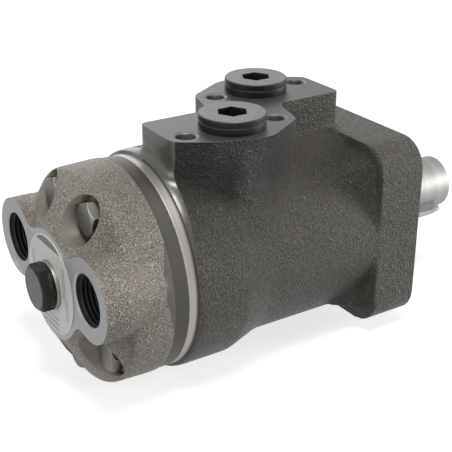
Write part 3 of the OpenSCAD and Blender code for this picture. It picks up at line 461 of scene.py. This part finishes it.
def discPrint():
    material, tree, shader = shaderTree("discPrint")
    point = objectPoint(tree)
    _, across, height = splitPoint(tree, point)
    radius = axisDistance(tree, across, height)

    def between(value, low, high):
        above = mathNode(tree, "GREATER_THAN", value, low)
        return times(tree, above, mathNode(tree, "LESS_THAN", value, high))

    def barField(acrossSpan, heightSpan, axis, pitch, level, strength):
        value = across if axis == "across" else height
        wave = mathNode(tree, "SINE", times(tree, value, 2 * math.pi / pitch))
        bars = mathNode(tree, "GREATER_THAN", wave, level)
        field = times(tree, between(across, *acrossSpan), between(height, *heightSpan))
        return times(tree, times(tree, field, bars), strength)

    marks = barField(*plate["bars"][0])
    for field in plate["bars"][1:]:
        marks = mathNode(tree, "MAXIMUM", marks, barField(*field))
    noise = noiseNode(tree, point, scale=500.0, detail=2.0, rough=0.5)
    marked = mixColour(tree, marks, mixColour(tree, noise, plate["paintDark"], plate["paint"]), plate["ink"])
    inside = mathNode(tree, "LESS_THAN", radius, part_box("name_disc")[1].z - plate["rimWidth"])
    segment = times(tree, inside, mathNode(tree, "GREATER_THAN", height, plate["segmentFrom"]))
    tree.links.new(mixColour(tree, segment, marked, plate["segment"]), shader.inputs["Base Color"])
    shader.inputs["Metallic"].default_value = 0.0
    shader.inputs["Roughness"].default_value = plate["roughness"]
    shader.inputs["Specular IOR Level"].default_value = plate["specular"]
    return material


finishOf = {
    "housing": housingCast, "end_cover": coverCast, "spacer_plate": plateSteel, "gear_ring": ringSteel,
    "output_shaft": groundSteel, "shaft_key": keySteel, "dust_seal": sealRubber, "shaft_seal": sealRubber,
    "thrust_race_front": groundSteel, "thrust_race_rear": groundSteel,
    "bearing_cage": washerBrass, "bearing_needles": groundSteel,
    "cardan_shaft": hardenedSteel, "rotor_star": groundSteel, "drive_spacer": hardenedSteel,
    "check_ball_left": groundSteel, "check_ball_right": groundSteel,
    "check_springs": keySteel, "check_plugs": keySteel, "body_seals": sealRubber,
    "cover_bolts": boltSteel, "cover_washers": washerBrass, "name_disc": discPrint(),
    "drain_plug": drainBlack, "drain_washer": plateSteel, "port_plugs": plugSteel, "plug_seals": plugSteel}
for nodeName, finish in finishOf.items():
    slots = nodes[nodeName].data.materials
    slots.clear()
    slots.append(finish)
print("finishes made:", len(finishOf))


# mesh helpers; loose corners this close are joined, and points this close to a plane belong to it, in metres

joinWithin, planeWithin = 2e-6, 2e-5


def linkedObject(name, data):
    piece = bpy.data.objects.new(name, data)
    bpy.context.scene.collection.objects.link(piece)
    return piece


def meshObject(name, points, faces):
    data = bpy.data.meshes.new(name)
    data.from_pydata([tuple(p) for p in points], [], [tuple(f) for f in faces])
    data.update()
    return linkedObject(name, data)


def cadObject(node, name, proud=()):
    # a copy of the CAD mesh with its loose triangles joined; the points on each proud plane move outwards
    mesh = bmesh.new()
    mesh.from_mesh(nodes[node].data)
    bmesh.ops.remove_doubles(mesh, verts=mesh.verts, dist=joinWithin)
    for axis, place, shift in proud:
        for vertex in mesh.verts:
            if abs(vertex.co[axis] - place) < planeWithin:
                vertex.co[axis] += shift
    data = bpy.data.meshes.new(name + "Copy")
    mesh.to_mesh(data)
    mesh.free()
    return linkedObject(name, data)


def rodMesh(start, end, radius, sides=48):
    # a closed rod: a circle of the radius carried from start to end, its two ends closed by one face each
    start, end = np.array(start, float), np.array(end, float)
    along = (end - start) / np.linalg.norm(end - start)
    side = np.cross(along, [0, 1, 0] if abs(along[1]) < 0.9 else [1, 0, 0])
    side /= np.linalg.norm(side)
    other = np.cross(along, side)
    angle = np.linspace(0, 2 * np.pi, sides, endpoint=False)
    ring = np.outer(np.cos(angle), side) + np.outer(np.sin(angle), other)
    points = np.vstack([start + radius * ring, end + radius * ring])
    k = np.arange(sides)
    n = (k + 1) % sides
    faces = [tuple(f) for f in np.column_stack([k, n, n + sides, k + sides])]
    faces += [tuple(k[::-1]), tuple(k + sides)]
    return points, faces


def turnedMesh(profile, sides=128):
    # a closed body of revolution round the X axis: each (x, radius) of the profile becomes a ring of points
    angle = np.linspace(0, 2 * np.pi, sides, endpoint=False)
    rings = [np.column_stack([np.full(sides, x), r * np.cos(angle), r * np.sin(angle)]) for x, r in profile]
    k = np.arange(sides)
    n = (k + 1) % sides
    faces = []
    for row in range(len(profile) - 1):
        a = row * sides
        faces += [tuple(f) for f in np.column_stack([a + k, a + n, a + n + sides, a + k + sides])]
    faces += [tuple(k[::-1]), tuple(k + (len(profile) - 1) * sides)]
    return np.vstack(rings), faces


def boxMesh(low, high):
    # the eight corners of a box and its six faces
    corners = np.array(np.meshgrid(*zip(low, high), indexing="ij")).reshape(3, -1).T
    faces = [(0, 1, 3, 2), (4, 6, 7, 5), (0, 4, 5, 1), (2, 3, 7, 6), (0, 2, 6, 4), (1, 5, 7, 3)]
    return corners, faces


def orderedMesh(points, faces):
    # a small closed solid whose faces are turned outwards, whichever way round they were listed
    volume = 0
    for face in faces:
        for k in range(1, len(face) - 1):
            volume += np.dot(points[face[0]], np.cross(points[face[k]], points[face[k + 1]]))
    return points, faces if volume > 0 else [face[::-1] for face in faces]


def applyModifiers(piece):
    depsgraph = bpy.context.evaluated_depsgraph_get()
    data = bpy.data.meshes.new_from_object(piece.evaluated_get(depsgraph))
    piece.modifiers.clear()
    piece.data = data


def boolean(piece, tool, operation):
    modifier = piece.modifiers.new("cut", "BOOLEAN")
    modifier.object = tool
    modifier.operation = operation
    modifier.solver = "MANIFOLD"
    applyModifiers(piece)
    bpy.data.objects.remove(tool)
    return piece


def joined(name, shapes):
    # several overlapping closed shapes as one closed mesh
    first = meshObject(name, *shapes[0])
    for shape in shapes[1:]:
        boolean(first, meshObject(name + "Next", *shape), "UNION")
    return first


def relax(piece, both, outward, ease):
    # Each point moves half way to the mean of its neighbours, both ways for the first steps and then only
    # outwards, so inner corners fill up to wide fillets while outer edges keep a small round.
    data = piece.data
    count = len(data.vertices)
    points = np.zeros(count * 3)
    data.vertices.foreach_get("co", points)
    points = points.reshape(-1, 3)
    edges = np.zeros(len(data.edges) * 2, np.int32)
    data.edges.foreach_get("vertices", edges)
    a, b = edges.reshape(-1, 2).T
    degree = np.bincount(np.r_[a, b], minlength=count)[:, None]
    loose = ease(points)[:, None]
    for step in range(both + outward):
        total = np.zeros_like(points)
        for axis in range(3):
            weights = np.r_[points[b, axis], points[a, axis]]
            total[:, axis] = np.bincount(np.r_[a, b], weights=weights, minlength=count)
        move = (total / degree - points) * 0.5 * loose
        if step >= both:
            data.vertices.foreach_set("co", points.ravel())
            data.update()
            normal = np.zeros(count * 3)
            data.vertex_normals.foreach_get("vector", normal)
            normal = normal.reshape(-1, 3)
            out = np.sum(move * normal, axis=1, keepdims=True)
            move = move - normal * np.minimum(out, 0)
        points = points + move
    data.vertices.foreach_set("co", points.ravel())
    data.update()


def casting(node, name, look, finishes):
    # the CAD solid as it leaves the mould: machined faces stand proud, holes are filled, corners are rounded;
    # then everything that the CAD solid leaves open inside the machining shapes is cut away again
    piece = cadObject(node, name, look["proud"])
    fill = joined(name + "Fill", look["fill"])
    for pocket in look.get("pockets", ()):
        # a pocket is filled only up to the body's own surface
        body = meshObject(name + "Body", *look["body"])
        boolean(fill, boolean(meshObject(name + "Pocket", *pocket), body, "INTERSECT"), "UNION")
    boolean(piece, fill, "UNION")
    for trim in look.get("trims", ()):
        boolean(piece, meshObject(name + "Trim", *trim), "DIFFERENCE")
    for crest in look.get("crests", ()):
        boolean(piece, meshObject(name + "Crest", *crest), "UNION")
    remesh = piece.modifiers.new("grid", "REMESH")
    remesh.mode = "VOXEL"
    remesh.voxel_size = look["grid"]
    applyModifiers(piece)
    relax(piece, look["bothSteps"], look["outwardSteps"], look["ease"])
    machining = joined(name + "Machining", look["machined"])
    boolean(machining, cadObject(node, name + "Solid"), "DIFFERENCE")
    for owner, index in ((piece, 0), (machining, 1)):
        owner.data.materials.clear()
        for finish in finishes:
            owner.data.materials.append(finish)
        owner.data.polygons.foreach_set("material_index", np.full(len(owner.data.polygons), index, np.int32))
    boolean(piece, machining, "DIFFERENCE")
    piece.data.name = name
    piece.data.polygons.foreach_set("use_smooth", np.ones(len(piece.data.polygons), bool))
    piece.data.set_sharp_from_angle(angle=math.radians(look["sharpAngle"]))
    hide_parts(node)
    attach(piece, "motor_body")
    print(name, len(piece.data.polygons), "faces", len(piece.data.vertices), "points")
    return piece


def paintWhere(piece, finish, chosen):
    # the machined faces whose centres pass the test take another finish
    data = piece.data
    count = len(data.polygons)
    centre = np.zeros(count * 3)
    data.polygons.foreach_get("center", centre)
    index = np.zeros(count, np.int32)
    data.polygons.foreach_get("material_index", index)
    index[(index == 1) & chosen(*centre.reshape(-1, 3).T)] = finish
    data.polygons.foreach_set("material_index", index)


# a filling rod runs this far past the face that it opens, and two shapes overlap by a hair, in metres
past, hair = 0.002, 0.0001
# half the width of the boxes that machine a whole face, and their top
boxHalf, boxTop = 0.06, 0.075


# housing: places in metres, as the CAD source has them, then what fills its holes, its webs and its casting
housing = {
    "flangeFace": 0.0, "rearFace": -0.1154, "padTop": 0.058, "proud": 0.003,
    "bore": 0.041,
    "sidePorts": ((-0.0825, -0.0177), (-0.0471, 0.0177)), "portFill": 0.0115, "portFrom": 0.02,
    "padHoles": ((-0.1043, -0.0182), (-0.0619, -0.0182), (-0.0677, 0.0182), (-0.0253, 0.0182)),
    "holeFill": 0.0052, "padHoleFrom": 0.038, "padHoleShade": (0.0048, 0.03),
    "flangeHole": 0.0291716, "flangeHoleFrom": -0.0192,
    "web": {"foot": (-0.0402, 0.0424), "head": (-0.0225, 0.0505), "side": (0.0175, 0.0378),
            "trimHeight": 0.01, "sink": 0.001},
    "barrel": 0.042, "barrelSpan": (-0.0430, -0.0210),
    "boxFront": 0.02, "boxRear": -0.13, "padBox": ((-0.12, -0.05), (-0.01, 0.05)),
    "grid": 0.001, "bothSteps": 4, "outwardSteps": 26, "sharpAngle": 32,
    "easeSpan": (-0.064, -0.052), "easeDrop": 0.85}


def smoothStep(value, low, high):
    share = np.clip((value - low) / (high - low), 0, 1)
    return share * share * (3 - 2 * share)


def housingEase(points):
    # wide fillets round the pad, narrow ones at the flange and its webs
    return 1 - housing["easeDrop"] * smoothStep(points[:, 0], *housing["easeSpan"])


def webShapes(across, up):
    # A web as a foundry leaves it: a crest from the barrel to the flange corner, a flat facet on either side.
    # The crest is a tetrahedron; each trim is the prism over one facet, which takes off what stands above it.
    web = housing["web"]
    outward = np.array([0, across, up]) / math.sqrt(2)
    along = np.array([0, across, -up]) / math.sqrt(2)

    def spot(x, radius):
        return np.array([x, 0, 0]) + radius * outward

    foot, head = spot(*web["foot"]), spot(*web["head"])
    sideWidth, sideRadius = web["side"]
    sides = [spot(web["head"][0], sideRadius) + s * sideWidth * along for s in (1, -1)]
    trims = []
    for side in sides:
        normal = np.cross(head - foot, side - foot)
        normal[0] = 0
        normal *= web["trimHeight"] * np.sign(normal @ outward) / np.linalg.norm(normal)
        base = np.array([foot, head, side])
        trims.append(orderedMesh(np.vstack([base, base + normal]),
                                 [(0, 2, 1), (3, 4, 5), (0, 1, 4, 3), (1, 2, 5, 4), (2, 0, 3, 5)]))
    deeper = np.array([web["sink"], 0, 0])
    crest = orderedMesh(np.array([foot, head + deeper, sides[0] + deeper, sides[1] + deeper]),
                        [(0, 1, 2), (0, 2, 3), (0, 3, 1), (1, 3, 2)])
    return trims, crest


def housingShapes():
    rear, front, top = housing["rearFace"], housing["flangeFace"], housing["padTop"]
    fill = [rodMesh((rear - past, 0, 0), (front + past, 0, 0), housing["bore"], 96)]
    for x, y in housing["sidePorts"]:
        fill.append(rodMesh((x, y, housing["portFrom"]), (x, y, top + past), housing["portFill"]))
    for x, y in housing["padHoles"]:
        fill.append(rodMesh((x, y, housing["padHoleFrom"]), (x, y, top + past), housing["holeFill"]))
    hole = housing["flangeHole"]
    for y, z in ((hole, hole), (-hole, hole), (hole, -hole), (-hole, -hole)):
        fill.append(rodMesh((housing["flangeHoleFrom"], y, z), (front + past, y, z), housing["holeFill"]))
    trims, crests = [], []
    for across, up in ((-1, 1), (-1, -1), (1, -1)):
        cuts, crest = webShapes(across, up)
        trims += cuts
        crests.append(crest)
    # the barrel comes back where a trim has cut into it
    barrelStart, barrelEnd = ((x, 0, 0) for x in housing["barrelSpan"])
    crests.append(rodMesh(barrelStart, barrelEnd, housing["barrel"] - 2 * hair, 128))
    padLow, padHigh = housing["padBox"]
    machined = fill + [
        boxMesh((front, -boxHalf, -boxHalf), (housing["boxFront"], boxHalf, boxTop)),
        boxMesh((housing["boxRear"], -boxHalf, -boxHalf), (rear, boxHalf, boxTop)),
        boxMesh((*padLow, top), (*padHigh, boxTop))]
    proud = housing["proud"]
    return {
        **housing, "proud": ((0, front, proud), (0, rear, -proud), (2, top, proud)),
        "fill": fill, "trims": trims, "crests": crests, "machined": machined, "ease": housingEase}


housingPiece = casting("housing", "housingCasting", housingShapes(), (housingCast, milledDark, holeShade))
# painted shade: the pad holes' walls below the mouth take the dark hole finish
shadeRadius, shadeFrom = housing["padHoleShade"]
for spotX, spotY in housing["padHoles"]:
    paintWhere(housingPiece, 2, lambda x, y, z: (np.hypot(x - spotX, y - spotY) < shadeRadius)
               & (z < housing["padTop"] - hair) & (z > shadeFrom))


# end cover: places in metres, as the CAD source has them, then its turned body and its casting
cover = {
    "face": -0.157, "joint": -0.1259, "proud": 0.0025,
    "rim": 0.0455, "shoulder": 0.0451, "bevelled": 0.0385, "plateau": 0.0233, "round": 0.003,
    "roundPlace": 0.473, "bevelAngle": 52, "bevelSteps": 7,
    "rimEdge": 0.0005, "rimDepth": 0.004, "plateauDepth": 0.0004, "middle": 0.001,
    "recess": (0.041, 0.002), "drainFill": 0.0142, "seatFill": (-0.1337, 0.0195),
    "ports": ((-0.0331475, 0.0075657), (0.0331475, 0.0075657)), "portRadius": 0.0106,
    "mouthFill": (0.0119, 0.0014), "portFill": (0.0108, 0.0192), "channelFill": (0.005, 0.0185),
    "boltRadius": 0.035, "boltAngles": (-90, -38.571429, 64.285714, 115.714286, 218.571429),
    "boltSeat": -0.141, "boltFill": 0.005, "pocketRadius": 0.0096, "boxEnds": (-0.17, -0.11),
    "grid": 0.0009, "bothSteps": 3, "outwardSteps": 5, "sharpAngle": 32}


def boltSpots():
    angles = np.radians(cover["boltAngles"])
    return cover["boltRadius"] * np.column_stack([np.cos(angles), np.sin(angles)])


def coverEase(points):
    # the same small round everywhere
    return np.ones(len(points))


def coverProfile():
    # the cover's round body as the CAD source turns it: rim, shoulder, rounded edge, bevel and flat
    face, joint, shoulder = cover["face"], cover["joint"], cover["shoulder"]
    radius = cover["round"]
    centre = (face + (joint - face) * cover["roundPlace"], shoulder - radius)
    angles = np.radians(np.linspace(0, cover["bevelAngle"], cover["bevelSteps"]))
    arc = [(centre[0] - radius * math.sin(a), centre[1] + radius * math.cos(a)) for a in angles]
    slope = math.tan(math.radians(cover["bevelAngle"]))
    bevelEnd = arc[-1][0] - (arc[-1][1] - cover["bevelled"]) / slope
    edge, low = cover["rimEdge"], face + cover["plateauDepth"]
    profile = [(joint, cover["rim"] - edge), (joint - edge, cover["rim"])]
    profile += [(joint - cover["rimDepth"], shoulder)] + arc + [(bevelEnd, cover["bevelled"])]
    profile += [(low, cover["plateau"]), (low, cover["middle"])]
    return profile[::-1]


def coverShapes():
    face, joint, seat = cover["face"], cover["joint"], cover["boltSeat"]
    recessRadius, recessDepth = cover["recess"]
    seatFrom, seatRadius = cover["seatFill"]
    fill = [rodMesh((joint - recessDepth, 0, 0), (joint + past, 0, 0), recessRadius, 96),
            rodMesh((face - past, 0, 0), (joint, 0, 0), cover["drainFill"]),
            rodMesh((seatFrom, 0, 0), (joint, 0, 0), seatRadius)]
    for y, z in cover["ports"]:
        mouthRadius, mouthDepth = cover["mouthFill"]
        portRadius, portDepth = cover["portFill"]
        channelRadius, channelFrom = cover["channelFill"]
        scale = cover["boltRadius"] / math.hypot(y, z)
        lineY, lineZ = y * scale, z * scale
        fill.append(rodMesh((face - past, y, z), (face + mouthDepth, y, z), mouthRadius))
        fill.append(rodMesh((face, y, z), (face + portDepth, y, z), portRadius))
        fill.append(rodMesh((face + channelFrom, lineY, lineZ), (joint, lineY, lineZ), channelRadius))
    for y, z in boltSpots():
        fill.append(rodMesh((seat - hair, y, z), (joint, y, z), cover["boltFill"]))
    rearEnd, frontEnd = cover["boxEnds"]
    machined = fill + [
        boxMesh((rearEnd, -boxHalf, -boxHalf), (face, boxHalf, boxHalf)),
        boxMesh((joint, -boxHalf, -boxHalf), (frontEnd, boxHalf, boxHalf))]
    radius, proud = cover["pocketRadius"] + hair, cover["proud"]
    pockets = [rodMesh((face - past, y, z), (seat, y, z), radius) for y, z in boltSpots()]
    return {
        **cover, "proud": ((0, face, -proud), (0, joint, proud)),
        "fill": fill, "machined": machined + pockets, "pockets": pockets,
        "body": turnedMesh(coverProfile()), "ease": coverEase}


coverPiece = casting("end_cover", "coverCasting", coverShapes(),
                     (coverCast, milledLight, portShade, pocketCutShaded))
# painted shade: the walls inside each end port take the near-black port finish
for spotY, spotZ in cover["ports"]:
    paintWhere(coverPiece, 2, lambda x, y, z: (np.hypot(y - spotY, z - spotZ) < cover["portRadius"])
               & (x > cover["face"] + hair))
# painted shade: the pocket walls take the darkened pocket finish
pocketReach = cover["pocketRadius"] + 2 * hair
for spotY, spotZ in boltSpots():
    paintWhere(coverPiece, 3, lambda x, y, z: (np.hypot(y - spotY, z - spotZ) < pocketReach)
               & (x < cover["boltSeat"] + hair) & (x > cover["face"] + hair))


# threads of the two end ports, in metres; a ridge reaches into the wall by the root share of its height
thread = {"wall": 0.01045, "crest": 0.0097, "pitch": 0.001814, "turns": 7.2, "stepsPerTurn": 56,
          "start": cover["face"] + 0.0020, "fadeAngle": 0.8, "fadeLeast": 0.02,
          "halfWidth": 0.46, "crestShare": 0.1, "root": 0.25}


def portThread(name, y, z):
    # One ridge on a helix: the angle runs along the first parameter and the small section along the second;
    # its radius falls from the wall to the crest and back, and both ends fade into the wall.
    steps = int(thread["turns"] * thread["stepsPerTurn"])
    angle = np.linspace(0, thread["turns"] * 2 * np.pi, steps + 1)
    along = thread["start"] + thread["pitch"] * angle / (2 * np.pi)
    fade = np.clip(np.minimum(angle, angle[-1] - angle) / thread["fadeAngle"], thread["fadeLeast"], 1)
    height = (thread["wall"] - thread["crest"]) * fade
    half = thread["halfWidth"] * thread["pitch"]
    flat, root = thread["crestShare"] * half, -thread["root"]
    section = ((-half, 0.0), (-flat, 1.0), (flat, 1.0), (half, 0.0), (half, root), (-half, root))
    rows = []
    for shift, share in section:
        radius = thread["wall"] - height * share
        rows.append(np.column_stack([along + shift, y - radius * np.cos(angle), z - radius * np.sin(angle)]))
    points = np.stack(rows, axis=1).reshape(-1, 3)
    count = len(section)
    i, j = np.meshgrid(np.arange(steps), np.arange(count), indexing="ij")
    a, b = (i * count + j).ravel(), (i * count + (j + 1) % count).ravel()
    faces = [tuple(f) for f in np.column_stack([a, b, b + count, a + count])]
    faces += [tuple(range(count))[::-1], tuple(range(steps * count, steps * count + count))]
    piece = meshObject(name, points, faces)
    mesh = bmesh.new()
    mesh.from_mesh(piece.data)
    bmesh.ops.recalc_face_normals(mesh, faces=mesh.faces)
    mesh.to_mesh(piece.data)
    mesh.free()
    piece.data.materials.append(threadSteel)
    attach(piece, "motor_body")


for side, spot in zip(("Left", "Right"), cover["ports"]):
    portThread("portThread" + side, *spot)
print("castings and threads made")


# camera, floor and light; metres, degrees, millimetres of lens and watts

photoCamera = {
    "place": (-0.29577, -0.34280, 0.19279), "azimuth": -32.923, "elevation": 24.688, "roll": 0.218,
    "lens": 81.79, "sensor": 36.0, "clipStart": 0.01}
lamps = {
    "keyLamp": {"place": (-1.05, -0.10, 0.30), "aim": (-0.08, 0, 0), "size": 0.6, "power": 4.5},
    "topLamp": {"place": (-0.20, -0.30, 1.00), "aim": (-0.08, 0, 0), "size": 0.35, "power": 10.0},
    "rightLamp": {"place": (1.02, -0.50, 0.16), "aim": (-0.08, 0, 0), "size": 0.4, "power": 16.0},
    "backLamp": {"place": (0.10, 0.85, 0.38), "aim": (-0.08, 0, 0.05), "size": 0.8, "power": 2.5}}
studio = {
    "floorGap": 0.0002, "floorReach": 6.0, "floorRows": 9,
    "floorColour": (0.42, 0.42, 0.42), "floorRoughness": 0.9, "floorSpecular": 0.1,
    "whiteFrom": (0.6, 1.8), "white": (0.74, 1.0), "worldLight": 0.08}


def placeCamera(spot):
    a, e, r = (math.radians(spot[k]) for k in ("azimuth", "elevation", "roll"))
    back = Vector((math.sin(a) * math.cos(e), -math.cos(a) * math.cos(e), math.sin(e)))
    right = Vector((math.cos(a), math.sin(a), 0))
    up = back.cross(right)
    tiltRight = right * math.cos(r) + up * math.sin(r)
    tiltUp = up * math.cos(r) - right * math.sin(r)
    data = bpy.data.cameras.new("photoCamera")
    data.lens = spot["lens"]
    data.sensor_width = spot["sensor"]
    data.clip_start = spot["clipStart"]
    camera = linkedObject("photoCamera", data)
    turn = Matrix((tiltRight, tiltUp, back)).transposed().to_4x4()
    camera.matrix_world = Matrix.Translation(spot["place"]) @ turn
    bpy.context.scene.camera = camera


def placeLamp(name, lamp):
    data = bpy.data.lights.new(name, "AREA")
    data.size = lamp["size"]
    data.energy = lamp["power"]
    piece = linkedObject(name, data)
    place, aim = Vector(lamp["place"]), Vector(lamp["aim"])
    piece.location = place
    piece.rotation_euler = (aim - place).to_track_quat("-Z", "Y").to_euler()


def seenRays(tree):
    # 1 where the camera looks, straight on, mirrored or through glass
    path = tree.nodes.new("ShaderNodeLightPath").outputs
    mirrored = mathNode(tree, "MAXIMUM", path["Is Glossy Ray"], path["Is Transmission Ray"])
    return mathNode(tree, "MAXIMUM", path["Is Camera Ray"], mirrored)


def floorPale():
    # what the camera sees of the floor is its own white, a little darker where the object keeps light off,
    # and full white far from the lamps
    material, tree, shader = shaderTree("floorPale")
    shader.inputs["Base Color"].default_value = (*studio["floorColour"], 1)
    shader.inputs["Roughness"].default_value = studio["floorRoughness"]
    shader.inputs["Specular IOR Level"].default_value = studio["floorSpecular"]
    away = tree.nodes.new("ShaderNodeVectorMath")
    away.operation = "LENGTH"
    tree.links.new(objectPoint(tree), away.inputs[0])
    white = tree.nodes.new("ShaderNodeMapRange")
    white.interpolation_type = "SMOOTHSTEP"
    tree.links.new(away.outputs["Value"], white.inputs["Value"])
    for kind, span in (("From", studio["whiteFrom"]), ("To", studio["white"])):
        white.inputs[kind + " Min"].default_value, white.inputs[kind + " Max"].default_value = span
    shader.inputs["Emission Color"].default_value = (1, 1, 1, 1)
    strength = times(tree, seenRays(tree), white.outputs["Result"])
    tree.links.new(strength, shader.inputs["Emission Strength"])
    return material


def placeFloor(height):
    # a flat square grid
    rows = studio["floorRows"]
    line = np.linspace(-studio["floorReach"], studio["floorReach"], rows)
    x, y = np.meshgrid(line, line, indexing="ij")
    points = np.column_stack([x.ravel(), y.ravel(), np.full(x.size, height)])
    k = np.arange(rows * rows).reshape(rows, rows)
    corners = (k[:-1, :-1], k[1:, :-1], k[1:, 1:], k[:-1, 1:])
    floor = meshObject("floor", points, np.column_stack([c.ravel() for c in corners]))
    floor.data.materials.append(floorPale())


def makeWorld():
    world = bpy.data.worlds.new("studio")
    bpy.context.scene.world = world
    world.use_nodes = True
    tree = world.node_tree
    background = tree.nodes["Background"]
    background.inputs["Color"].default_value = (1, 1, 1, 1)
    strength = plus(tree, times(tree, seenRays(tree), 1 - studio["worldLight"]), studio["worldLight"])
    tree.links.new(strength, background.inputs["Strength"])


placeCamera(photoCamera)
placeFloor(cadBox[0].z - studio["floorGap"])
for lampName, lamp in lamps.items():
    placeLamp(lampName, lamp)
makeWorld()
bpy.context.scene.view_settings.view_transform = "Standard"
print("camera, floor and lamps placed")
